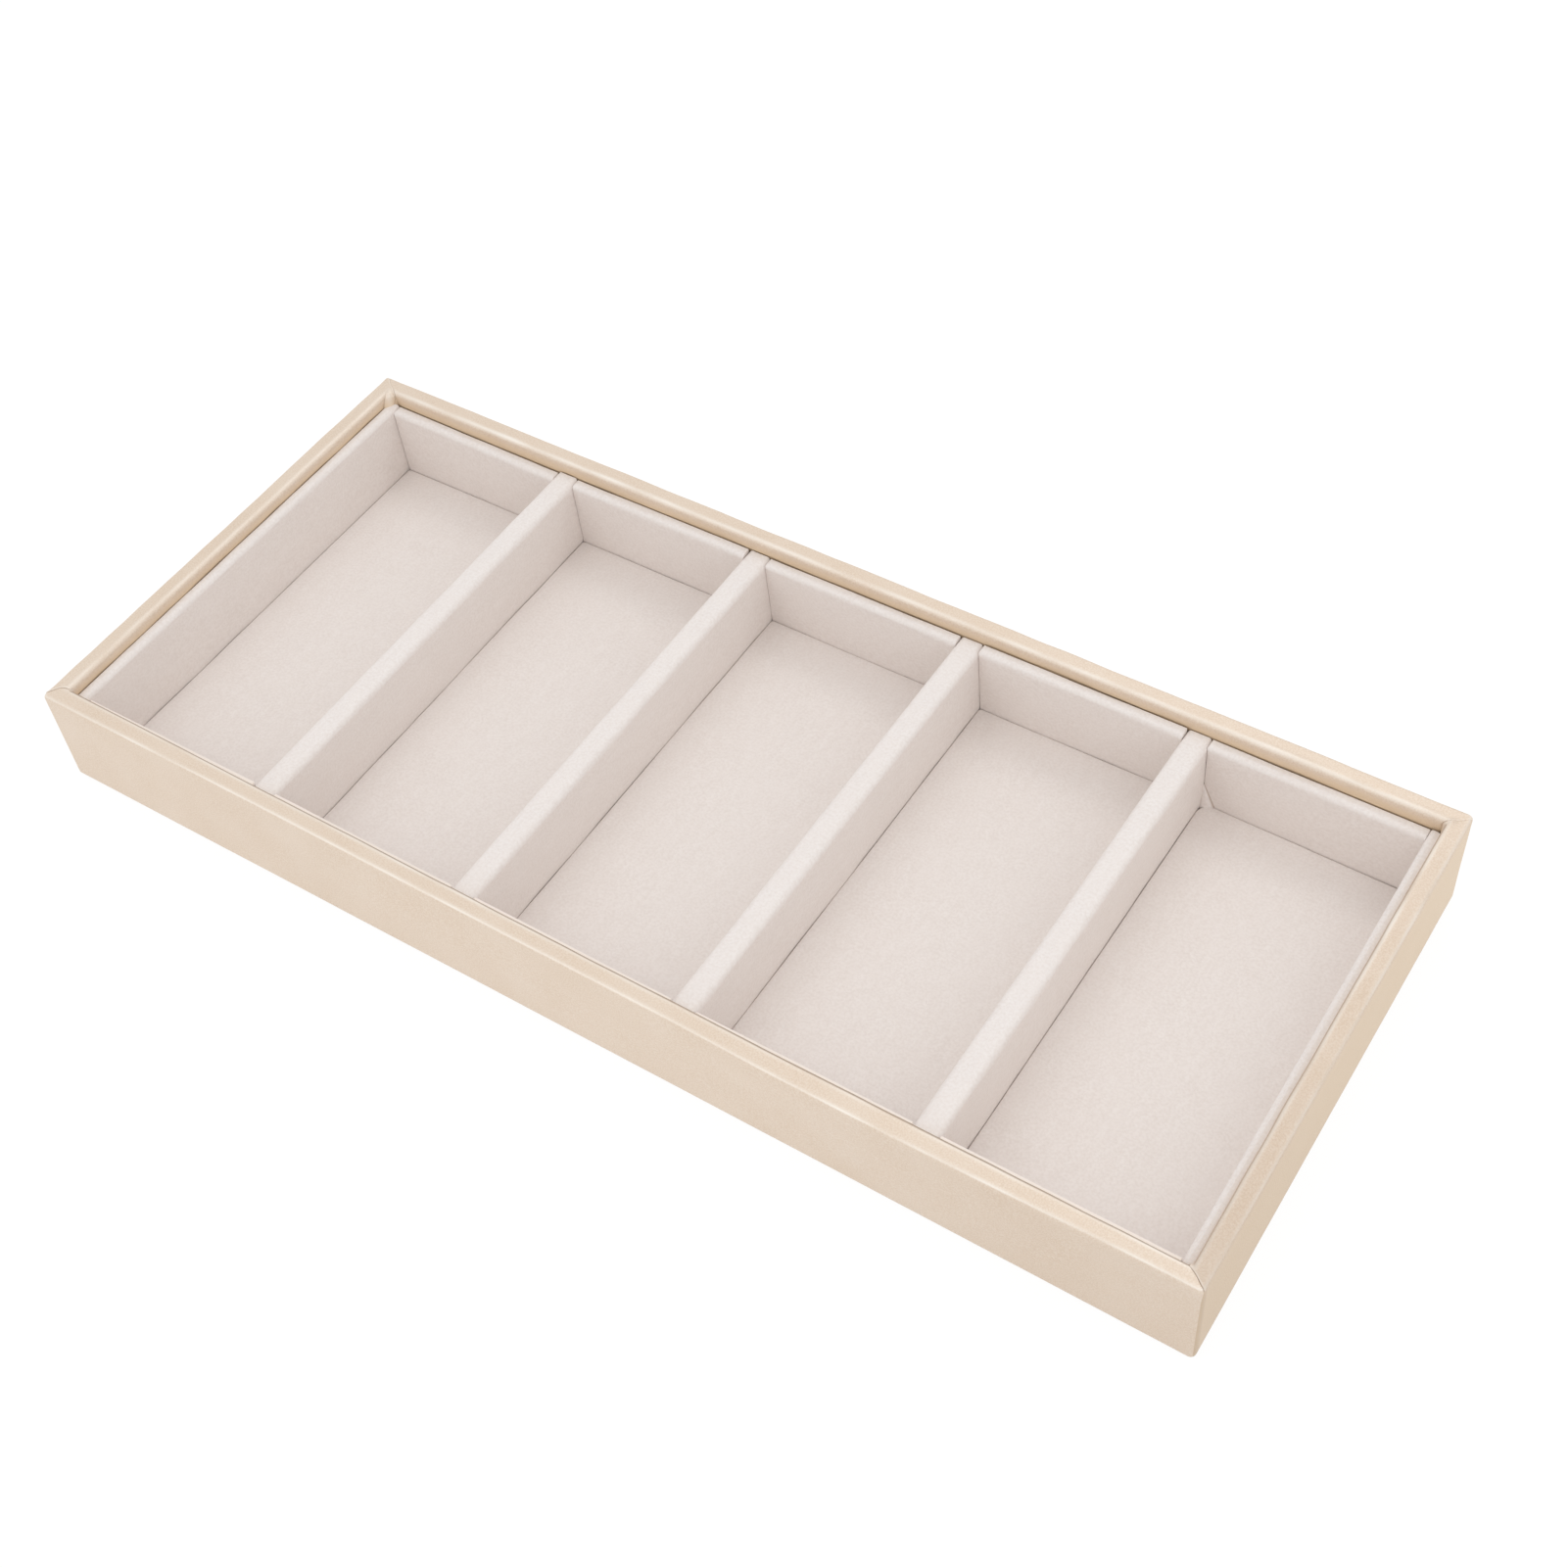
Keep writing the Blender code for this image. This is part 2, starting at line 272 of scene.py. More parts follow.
@dataclass(frozen=True)
class PearlLeatherette(Finish):
    """Polyurethane-coated cloth, knife-coated with pearl pigment and embossed with a fine pebble grain.

    The pigment gives a soft, slightly metallic veil that pales towards the light; the grain breaks the gloss into fine
    speckle. The golden base shows as painted shade on the inner faces, deepening downwards, and on the outside of the
    right wall. Edges are paler where the leather is drawn tight over them, and paler still by painted highlight.
    """

    name: str = "pearl_leatherette"
    base: str = "E2CFBB"
    crease: str = "D3BDA6"
    fleck: str = "EFE3D6"
    # Mark colours: pale for drawn edges and painted highlight, golden for painted shade, brown for seams and shade.
    pulled_and_highlit: str = "F8F0E6"
    shaded: str = "E5CFB2"
    seam: str = "8E735A"
    # Real pebbles are about 0.4 mm wide and flecks of pigment under 0.1 mm; both are drawn coarser, so that they show.
    pebble_mm: float = 1.1
    fleck_mm: float = 0.5
    cloud_mm: float = 22.0
    warp_mm: float = 2.0

    def sockets(self, tree: bpy.types.NodeTree, place: bpy.types.NodeSocket) -> dict[str, object]:
        """Pebbles bent out of line by a noise, with pale flecks and clouds of pigment over them.

        Args:
            tree: the material's tree.
            place: the point in the object's own coordinates.

        Returns:
            The inputs of the Principled shader by name.
        """
        warp = put(tree, "ShaderNodeTexNoise", {"Vector": place, "Scale": per_metre(self.warp_mm), "Detail": 2.0})
        bent = put(tree, "ShaderNodeMix", {0: 0.0004, 4: place, 5: warp.outputs[1]}, data_type="VECTOR").outputs[1]
        grain = {"Vector": bent, "Scale": per_metre(self.pebble_mm)}
        pebbles = put(tree, "ShaderNodeTexVoronoi", grain, feature="DISTANCE_TO_EDGE").outputs[0]
        raised = put(tree, "ShaderNodeMapRange", {0: pebbles, 1: 0.0, 2: 0.22, 3: 0.0, 4: 1.0}).outputs[0]
        flecks, clouds = (
            put(tree, "ShaderNodeTexNoise", {"Vector": place, "Scale": per_metre(size), "Detail": detail}).outputs[0]
            for size, detail in ((self.fleck_mm, 3.0), (self.cloud_mm, 2.0))
        )
        colour = self.coated(
            tree,
            linear(self.base),
            (raised, 0.0, 1.0, 0.3, 0.0, self.crease),
            (flecks, 0.42, 0.62, 0.0, 0.42, self.fleck),
            (clouds, 0.35, 0.7, 0.0, 0.22, self.fleck),
        )
        gloss = put(tree, "ShaderNodeMapRange", {0: flecks, 1: 0.3, 2: 0.7, 3: 0.54, 4: 0.44})
        height = put(tree, "ShaderNodeMath", {0: flecks, 1: 0.5, 2: raised}, operation="MULTIPLY_ADD")
        bump = put(tree, "ShaderNodeBump", {"Strength": 0.45, "Distance": 0.045 * MM, "Height": height.outputs[0]})
        return {
            # Marks: painted highlight with paler drawn edges, golden painted shade, brown seam lines with painted
            # shade.
            "Base Color": self.marked(tree, colour, "shaded", "pulled_and_highlit", "seam"),
            "Metallic": 0.28,
            "Roughness": gloss.outputs[0],
            "IOR": 1.5,
            "Specular IOR Level": 0.22,
            "Coat Weight": 0.06,
            "Coat Roughness": 0.32,
            "Normal": bump.outputs[0],
        }


@dataclass(frozen=True)
class MicroSuede(Finish):
    """Microfibre suede, a needled fleece whose face was sanded to a short nap.

    The nap scatters light into a soft pale bloom at grazing angles and lies in faint patches and streaks; where
    the cloth is drawn tight over an edge it opens and looks whiter, and painted highlight lightens the tops further.
    Painted shade darkens its creases and the gaps by its neighbours.
    """

    name: str = "micro_suede"
    base: str = "EBE3DE"
    shade: str = "DBD0C9"
    light: str = "F1EBE7"
    # Mark colours: paler nap with painted highlight on tops, painted shade in creases and gaps, a painted highlight
    # edge.
    stretched_and_highlit: str = "ECE6E3"
    crease_and_gap_shade: str = "B09C8F"
    crest: str = "F8EEE5"
    # A real nap is some 0.1 mm fine; it is drawn coarser, so that it shows.
    nap_mm: float = 0.9
    streak_mm: float = 2.6
    patch_mm: float = 11.0

    def sockets(self, tree: bpy.types.NodeTree, place: bpy.types.NodeSocket) -> dict[str, object]:
        """A speckle of nap, streaks brushed along Y and soft patches, each a noise of its own size.

        Args:
            tree: the material's tree.
            place: the point in the object's own coordinates.

        Returns:
            The inputs of the Principled shader by name.
        """
        brushed = put(tree, "ShaderNodeMapping", {"Vector": place, "Scale": (1.0, 0.35, 1.0)}).outputs[0]
        nap, streaks, patches = (
            put(tree, "ShaderNodeTexNoise", {"Vector": where, "Scale": per_metre(size), "Detail": detail}).outputs[0]
            for where, size, detail in (
                (place, self.nap_mm, 4.0),
                (brushed, self.streak_mm, 3.0),
                (place, self.patch_mm, 3.0),
            )
        )
        colour = self.coated(
            tree,
            self.marked(tree, linear(self.base), "stretched_and_highlit"),
            (streaks, 0.4, 0.7, 0.0, 0.4, self.light),
            (nap, 0.32, 0.62, 0.45, 0.0, self.shade),
            (patches, 0.35, 0.65, 0.0, 0.3, self.base),
        )
        height = put(tree, "ShaderNodeMath", {0: streaks, 1: 0.5, 2: nap}, operation="MULTIPLY_ADD")
        bump = put(tree, "ShaderNodeBump", {"Strength": 0.3, "Distance": 0.08 * MM, "Height": height.outputs[0]})
        return {
            # Painted shade in creases and gaps, and a painted highlight along the front liners' top edge.
            "Base Color": self.marked(tree, colour, "crease_and_gap_shade", "crest"),
            "Roughness": 0.95,
            "Specular IOR Level": 0.15,
            "Sheen Weight": 0.25,
            "Sheen Roughness": 0.5,
            "Sheen Tint": (1.0, 0.97, 0.95, 1.0),
            "Normal": bump.outputs[0],
        }


@dataclass(frozen=True)
class FibreStock(Finish):
    """Board pressed from fibres, such as greyboard rolled from waste paper or fibreboard pressed from wood.

    Flecks of darker and paler fibre lie flat in a lustreless matt ground, so that cut faces look speckled.
    """

    name: str = "greyboard"
    ground: str = "A39C92"
    dark: str = "847C72"
    pale: str = "BDB7AD"
    fibre_mm: float = 0.6
    speck_mm: float = 1.6

    def sockets(self, tree: bpy.types.NodeTree, place: bpy.types.NodeSocket) -> dict[str, object]:
        """Dark fibres drawn out along X and Y, with pale specks over them.

        Args:
            tree: the material's tree.
            place: the point in the object's own coordinates.

        Returns:
            The inputs of the Principled shader by name.
        """
        laid = put(tree, "ShaderNodeMapping", {"Vector": place, "Scale": (0.3, 0.5, 1.0)}).outputs[0]
        fibres, specks = (
            put(tree, "ShaderNodeTexNoise", {"Vector": where, "Scale": per_metre(size), "Detail": detail}).outputs[0]
            for where, size, detail in ((laid, self.fibre_mm, 5.0), (place, self.speck_mm, 4.0))
        )
        dark, pale = (fibres, 0.35, 0.6, 0.8, 0.0, self.dark), (specks, 0.55, 0.7, 0.0, 0.7, self.pale)
        bump = put(tree, "ShaderNodeBump", {"Strength": 0.5, "Distance": 0.08 * MM, "Height": fibres})
        return {
            "Base Color": self.coated(tree, linear(self.ground), dark, pale),
            "Roughness": 0.9,
            "Specular IOR Level": 0.3,
            "Normal": bump.outputs[0],
        }


# Shapes worked out with arrays


def ripple(points: Array, wavelength: float, seed: int, waves: int = 14) -> Array:
    """Smooth unevenness in space, about one unit high and with no mean.

    The sum of sine waves in random directions, each with a length near the one given and a random phase,
    divided by the square root of half their number.

    Args:
        points: places, with x, y and z last.
        wavelength: the usual distance from crest to crest.
        seed: picks the directions, lengths and phases.
        waves: how many waves are added.

    Returns:
        One value per place.
    """
    draw = np.random.default_rng(seed)
    headings = draw.normal(size=(waves, 3))
    headings /= np.linalg.norm(headings, axis=1, keepdims=True)
    lengths = wavelength * draw.uniform(0.7, 1.5, waves)
    phases = draw.uniform(0, 2 * math.pi, waves)
    angles = points @ (headings / lengths[:, None] * 2 * math.pi).T + phases
    return np.sin(angles).sum(-1) / math.sqrt(waves / 2)


def eased(value: Array, low: float, high: float) -> Array:
    """A smooth step: 0 at low and before it, 1 at high and past it, and 3t^2 - 2t^3 between."""
    t = np.clip((value - low) / (high - low), 0, 1)
    return t * t * (3 - 2 * t)


def bell(offset: Array, width: float) -> Array:
    """A bump of 1 at no offset that dies away on both sides as e^-(offset / width)^2."""
    return np.exp(-((offset / width) ** 2))


def curve_through(value: Array, places: tuple[float, ...], heights: tuple[float, ...], soft: float) -> Array:
    """A curve that follows a line through given points with its corners softened.

    The straight-line value averaged over a raised-cosine window that reaches as far as `soft` on both sides.

    Args:
        value: where the curve is wanted.
        places: where its points lie.
        heights: their heights.
        soft: half the window's width.

    Returns:
        The curve's heights.
    """
    window = np.linspace(-1, 1, 15)
    weight = 1 + np.cos(math.pi * window)
    around = np.interp(np.asarray(value)[..., None] + soft * window, places, heights)
    return (around * weight).sum(-1) / weight.sum()


def outward(grid: Array) -> Array:
    """Unit normals of a grid whose columns run anticlockwise round it, seen from above.

    The cross product of the step to the next column and the step to the next row, each taken across both
    neighbours.

    Args:
        grid: points by row and column; the last column is next to the first.

    Returns:
        A unit vector per point.
    """
    along = np.roll(grid, -1, 1) - np.roll(grid, 1, 1)
    up = np.gradient(grid, axis=0)
    normals = np.cross(along, up)
    return normals / np.maximum(np.linalg.norm(normals, axis=-1, keepdims=True), 1e-12)


def rounded_rings(
    half: Array, inset: Array, radii: tuple[float, ...], spacing: tuple[float, float]
) -> tuple[Array, Array]:
    """Rectangles with rounded corners, one inside the other, as a grid of x and y.

    A corner's arc keeps its centre while its radius r shrinks to max(r - inset, 0), and straight lines join
    the arcs. Columns run anticlockwise from the right side's back end.

    Args:
        half: half the width and depth of the outermost ring.
        inset: how far each ring is drawn in.
        radii: each corner's radius, anticlockwise from the back right.
        spacing: distance between columns on the long and on the short sides.

    Returns:
        x and y by ring and column, and the angle that each column faces.
    """
    inset = np.reshape(inset, (-1, 1))
    arcs, facing = [], []
    for number, sign in enumerate(FROM_BACK_RIGHT):
        angles = (number + np.linspace(0, 1, 7)) * math.pi / 2
        radius = np.clip(radii[number] - inset, 0, half.min() - inset)
        centre = sign * (half - inset - radius)
        arcs.append(centre[:, None] + radius[:, :, None] * np.stack([np.cos(angles), np.sin(angles)], -1))
        facing.append(angles)
    parts, angles = [], []
    for number, arc in enumerate(arcs):
        start, end = arc[:, -1:], arcs[(number + 1) % 4][:, :1]
        side = half[number % 2]
        count = max(int(2 * side / spacing[0 if side == half.max() else 1]), 3)
        t = np.linspace(0, 1, count + 1)[1:-1, None]
        parts += [arc, start * (1 - t) + end * t]
        angles += [facing[number], np.full(count - 1, facing[number][-1])]
    return np.concatenate(parts, 1), np.concatenate(angles)


def mesh_piece(
    name: str, grid: Array, finish: bpy.types.Material, closed: bool, marks: dict[str, Array]
) -> bpy.types.Object:
    """Puts a grid of points into a mesh object of quads.

    Args:
        name: the piece's name.
        grid: points by row and column; the last column is joined to the first.
        finish: its material.
        closed: whether the last row is joined to the first as well.
        marks: named values for the material, by row and column.

    Returns:
        The object, at the origin, with coinciding points merged.
    """
    rows, columns = grid.shape[:2]
    number = np.arange(rows * columns).reshape(rows, columns)
    upper = np.roll(number, -1, 0)
    if not closed:
        number, upper = number[:-1], upper[:-1]
    faces = np.stack([number, np.roll(number, -1, 1), np.roll(upper, -1, 1), upper], -1).reshape(-1, 4)
    mesh = bpy.data.meshes.new(name)
    mesh.from_pydata(grid.reshape(-1, 3).tolist(), [], faces.tolist())
    for mark, values in marks.items():
        mesh.attributes.new(mark, "FLOAT", "POINT").data.foreach_set("value", values.astype(np.float32).ravel())
    shaped = bmesh.new()
    shaped.from_mesh(mesh)
    bmesh.ops.remove_doubles(shaped, verts=shaped.verts, dist=WELD)
    bmesh.ops.dissolve_degenerate(shaped, edges=shaped.edges, dist=WELD)
    shaped.to_mesh(mesh)
    shaped.free()
    mesh.materials.append(finish)
    mesh.shade_smooth()
    return add_object(name, mesh)


def settle(piece: bpy.types.Object, body: str, slot: Slot, *nodes: str) -> None:
    """Lets a piece ride on its body and stand for its nodes, and reports it.

    Args:
        piece: the piece.
        body: the body that it moves with.
        slot: the material slot that it belongs to; not used.
        *nodes: the CAD nodes that it stands for.
    """
    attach(piece, body)
    if nodes:
        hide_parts(*nodes)
    log.info("%s rides on %s and stands for %s", piece.name, body, ", ".join(nodes) or "no node")


# Suede covers


@dataclass(frozen=True)
class Block:
    """A block that may lean and taper, by its corners: back right, back left, front left and front right.

    Attributes:
        foot: x and y of each corner at the foot.
        head: x and y of each corner at the top.
        low: height of the foot.
        tops: height of each corner's top.
    """

    foot: Array
    head: Array
    low: float
    tops: Array

    def plain(self) -> tuple[Array, float]:
        """The upright block that this one is bent from, as wide, deep and high as this one is on average.

        Returns:
            Half its width and depth, and its height.
        """
        spans = (self.foot + self.head) / 2
        sides = np.abs([spans[0] - spans[1], spans[3] - spans[2], spans[0] - spans[3], spans[1] - spans[2]])
        half = np.array([sides[:2, 0].mean(), sides[2:, 1].mean()]) / 2
        return half, float(self.tops.mean() - self.low)

    def bent(self, grid: Array, half: Array, height: float) -> Array:
        """Moves points of the plain block, whose foot is centred on the origin, into this one.

        A corner's weight is (1 +- x / half) (1 +- y / half) / 4. The foot's weighted corners turn into the
        head's by the share of the height, and the top's height is weighted the same way.

        Args:
            grid: points of the plain block.
            half: half its width and depth.
            height: its height.

        Returns:
            The points in the tray.
        """
        across, along = FROM_BACK_RIGHT.T
        weight = (1 + across * grid[..., :1] / half[0]) * (1 + along * grid[..., 1:2] / half[1]) / 4
        share = np.clip(grid[..., 2:] / height, 0, 1)
        flat = (weight @ self.foot) * (1 - share) + (weight @ self.head) * share
        level = self.low + grid[..., 2] + (weight @ self.tops - self.low - height) * share[..., 0]
        return np.dstack([flat, level])


@dataclass(frozen=True)
class Cover:
    """Suede folded over one card or board, and the card or board in it.

    Attributes:
        node: the CAD node that the suede stands for.
        card: the CAD node that the card or board stands for.
        body: the body that both ride on.
        block: the space that the cover fills.
        soft_sides: the directions, as angles, that its softly rounded top edges face.
        rounding: radius of those edges.
        crisp: radius of its other top edges, which press on a neighbour.
        corner: radius of each upright edge, anticlockwise from the back right.
        crown: how far the top is domed.
        upright: whether it stands on edge, so that its ends are folded like a parcel's.
        seed: picks its unevenness.
        folded: whether the folds at its ends are drawn.
        crest: how strongly a painted highlight pales its top edge.
        wave: how far the surface is uneven.
        skin: thickness of the suede.
        gap: room between the suede and the card, which glue fills.
    """

    node: str
    card: str
    body: str
    block: Block
    soft_sides: tuple[float, ...]
    rounding: float
    crisp: float
    corner: tuple[float, ...]
    crown: float
    upright: bool
    seed: int
    folded: bool = False
    crest: float = 0.0
    wave: float = 0.05 * MM
    skin: float = 0.6 * MM
    gap: float = 0.1 * MM

    def levels(self, height: float, narrow: float, rounding: float) -> Array:
        """The outer face's rows, from the foot over the top edge to the middle.

        Straight up, round a quarter circle at the top edge, and on over the top, whose height rises by the
        crown times 1 - (1 - t)^2, to half the narrower side.

        Args:
            height: height of the plain block.
            narrow: half its narrower side.
            rounding: radius of the top edge.

        Returns:
            Rows of (inset, z, angle that the surface faces up by).
        """
        below, near_top, over = (12, 12, 6) if self.upright else (3, 2, 19)
        fine = min(5.5 * MM, height / 2) if self.upright else 0.0
        low_rows = np.linspace(0, height - rounding - fine, below)[:-1]
        high_rows = np.linspace(height - rounding - fine, height - rounding, near_top)[:-1]
        straight = np.concatenate([low_rows, high_rows])
        turn = np.linspace(0, math.pi / 2, 8)
        arc = np.stack([rounding * (1 - np.cos(turn)), height - rounding * (1 - np.sin(turn))], -1)
        t = np.linspace(0, 1, over)[1:]
        top = np.stack([rounding + (narrow - rounding) * t, height + self.crown * (1 - (1 - t) ** 2)], -1)
        line = np.concatenate([np.stack([np.zeros_like(straight), straight], -1), arc, top])
        tilt = np.concatenate([np.zeros(len(straight)), turn, np.full(len(top), math.pi / 2)])
        return np.column_stack([line, tilt])

    def skinned(self, rows: Array, narrow: float) -> Array:
        """The rows of both faces of the suede, from the middle inside, down to the foot and up to the middle outside.

        The inner face's rows lie the skin's thickness behind the outer ones, against the way that they face,
        and stop at the middle line.

        Args:
            rows: the outer face's rows.
            narrow: half the narrower side.

        Returns:
            Rows of (inset, z, angle that the surface faces up by).
        """
        inner = rows[::-1].copy()
        inner[:, 0] = np.clip(inner[:, 0] + self.skin * np.cos(inner[:, 2]), self.skin, narrow)
        inner[:, 1] = np.minimum(inner[:, 1] - self.skin * np.sin(inner[:, 2]), inner[:, 1].max() - self.skin)
        return np.concatenate([inner, rows])

    def drawn_in(self, rings: Array, half: Array, soft: Array, tight: Array) -> Array:
        """Rings that were drawn in evenly, spread so that each side keeps the inset of its own kind of edge.

        Along each axis a ring reaches from -(half - inset of its low side) to half - inset of its high side,
        and its points are moved linearly between the two.

        Args:
            rings: x and y by ring and column.
            half: half the plain block's width and depth.
            soft: how far each ring is drawn in at a soft side.
            tight: how far at a side that presses on a neighbour.

        Returns:
            x and y by ring and column.
        """
        soft_at = [(round(math.cos(side)), round(math.sin(side))) for side in self.soft_sides]
        moved = rings.copy()
        for axis, across in enumerate(((1, 0), (0, 1))):
            high = half[axis] - (soft if across in soft_at else tight)
            low = (soft if (-across[0], -across[1]) in soft_at else tight) - half[axis]
            stretch = (high - low) / (2 * np.maximum(half[axis] - soft, 1e-12))
            moved[..., axis] = ((high + low) / 2)[:, None] + rings[..., axis] * stretch[:, None]
        return moved

    def ceiling(self, rings: Array, half: Array, height: float, rounding: float, behind: Array) -> Array:
        """The height that the soft edges' rounding leaves, so that it runs right through to the ends.

        At a distance c from a soft side, within its radius R, it is the height - R + the square root of
        (R - the skin behind)^2 - (R - c)^2.

        Args:
            rings: x and y in the plain block.
            half: half its width and depth.
            height: its height.
            rounding: the soft edges' radius.
            behind: how far the row lies behind the outer face.

        Returns:
            The highest level at each point.
        """
        limit = np.full(rings.shape[:2], np.inf)
        for side in self.soft_sides:
            across = np.array([math.cos(side), math.sin(side)])
            short = np.maximum(rounding - (half @ np.abs(across) - rings @ across), 0.0)
            arch = height - rounding + np.sqrt(np.maximum((rounding - behind) ** 2 - short**2, 0.0))
            limit = np.where(short > 1e-7, np.minimum(limit, arch), limit)
        return limit

    def end_folds(self, grid: Array, half: Array, height: float) -> Array:
        """How near each point is to a crease of the parcel fold on the two ends, 1 on the crease.

        On an end, the creases run at 45 degrees from the top corners down to the middle, and then straight
        down. The value is e^-(distance / 0.25 mm)^2.

        Args:
            grid: points of the plain block.
            half: half its width and depth.
            height: its height.

        Returns:
            The nearness at each point.
        """
        long_axis = int(np.argmax(half))
        across = grid[..., 1 - long_axis]
        depth = height - grid[..., 2]
        narrow = half[1 - long_axis]
        slant = np.abs(np.abs(across) - (narrow - depth)) / math.sqrt(2)
        crease = np.where(depth < narrow, slant, np.abs(across))
        at_end = (np.abs(grid[..., long_axis]) > half[long_axis] - 0.05 * MM) * eased(depth, self.crisp, 2 * self.crisp)
        return bell(crease, 0.25 * MM) * at_end

    def build(self, finish: bpy.types.Material, stock: bpy.types.Material) -> None:
        """Builds the suede and the card or board in it.

        Args:
            finish: the suede's material.
            stock: the card's or board's material.
        """
        half, height = self.block.plain()
        self.build_suede(finish, half, height)
        self.build_card(stock, half, height)

    def build_suede(self, finish: bpy.types.Material, half: Array, height: float) -> None:
        """Builds the suede as a skin open at its foot, with an outer and an inner face.

        Rings of the plain block are drawn in row by row, less at the sides whose top edges aren't soft. There
        the upright rows are those of the tighter radius, by how far a point faces away from the soft sides, and
        over the top edge the level is the tighter radius's, but no higher than the soft sides' rounding leaves.
        The outer face is uneven by the wave, sideways on the upright rows and up or down over the top edge.

        Args:
            finish: the suede's material.
            half: half the plain block's width and depth.
            height: its height.
        """
        narrow = float(half.min())
        rounding = min(self.rounding, 0.9 * narrow)
        rows = self.skinned(self.levels(height, narrow, rounding), narrow)
        tight_rows = self.skinned(self.levels(height, narrow, self.crisp), narrow)
        spacing = mm(2.5, 0.35) if self.upright else mm(2.5, 2.5)
        rings, facing = rounded_rings(half, rows[:, 0], self.corner, spacing)
        shape = rings.shape[:2]
        tight = 1 - np.max([eased(np.cos(facing - side), 0.1, 0.9) for side in self.soft_sides], axis=0)
        tight = np.where(rows[:, 2:] > 0, 1.0, tight)
        rings = self.drawn_in(rings, half, rows[:, 0], tight_rows[:, 0])
        level = rows[:, 1:2] * (1 - tight) + tight_rows[:, 1:2] * tight
        behind = np.where(np.arange(len(rows)) < len(rows) // 2, self.skin, 0.0)[:, None]
        level = np.minimum(level, self.ceiling(rings, half, height, rounding, behind))
        grid = np.dstack([rings, level])
        sideways = rows[:, 2:] == 0
        normals = np.dstack([sideways * np.cos(facing), sideways * np.sin(facing), np.broadcast_to(~sideways, shape)])
        push = self.wave * (ripple(grid, 30 * MM, self.seed) + 0.4 * ripple(grid, 9 * MM, self.seed + 500))
        push = push * eased(narrow - rows[:, :1], 0.0, 0.3 * MM) * (behind == 0)
        # Floor pads: painted shade in the gap along the pad's edge; upright pieces get none.
        crease_and_gap_shade = np.broadcast_to(0.0 if self.upright else 1.1 * (1 - eased(rows[:, :1], 0.0, 0.6 * MM)), shape)
        if self.folded:
            # Dividers: painted shade along the parcel folds' creases, which are also pressed in.
            crease_and_gap_shade = self.end_folds(grid, half, height)
            push = push - 0.16 * MM * crease_and_gap_shade
        grid = self.block.bent(grid + normals * push[..., None], half, height)
        # Paler tops: the nap opened where the cloth is drawn tight, and painted highlight.
        reach, strongest = (3.6 * MM, 0.85) if self.upright else (0.8 * MM, 0.3)
        near_top = eased(rows[:, 1], height - reach, height) * strongest
        if not self.upright:
            near_top = near_top * (1 - eased(rows[:, 0], 0.5 * MM, 3 * MM))
        stretched_and_highlit = np.broadcast_to(near_top[:, None], shape) * (0.9 + 0.1 * ripple(grid, 9 * MM, self.seed + 900))
        marks = {"stretched_and_highlit": np.clip(stretched_and_highlit, 0, 1), "crease_and_gap_shade": 0.4 * crease_and_gap_shade}
        # A painted highlight along the top edge.
        if self.crest:
            pale = self.crest * eased(rows[:, 1], height - 0.5 * MM, height - 0.1 * MM)
            marks["crest"] = np.repeat(pale[:, None], shape[1], 1)
        piece = mesh_piece(f"{self.node}_skin", grid, finish, False, marks)
        settle(piece, self.body, Slot.SUEDE, self.node)

    def build_card(self, finish: bpy.types.Material, half: Array, height: float) -> None:
        """Builds the card or board as a closed square-edged block that fills the suede but for the glue.

        Args:
            finish: the card's or board's material.
            half: half the plain block's width and depth.
            height: its height.
        """
        wall, narrow, cut = self.skin + self.gap, float(half.min()), 0.08 * MM
        top = height - wall
        corners = ((wall + cut, 0.0), (wall, cut), (wall, top - cut), (wall + cut, top))
        rows = np.array([(narrow, 0.0), *corners, (narrow, top)])
        rings, _ = rounded_rings(half, rows[:, 0], (0.0,) * 4, (8 * MM, 8 * MM))
        grid = np.dstack([rings, np.broadcast_to(rows[:, 1:], rings.shape[:2])])
        piece = mesh_piece(f"{self.card}_core", self.block.bent(grid, half, height), finish, False, {})
        settle(piece, self.body, Slot.BOARD if "board" in self.card else Slot.CARD, self.card)


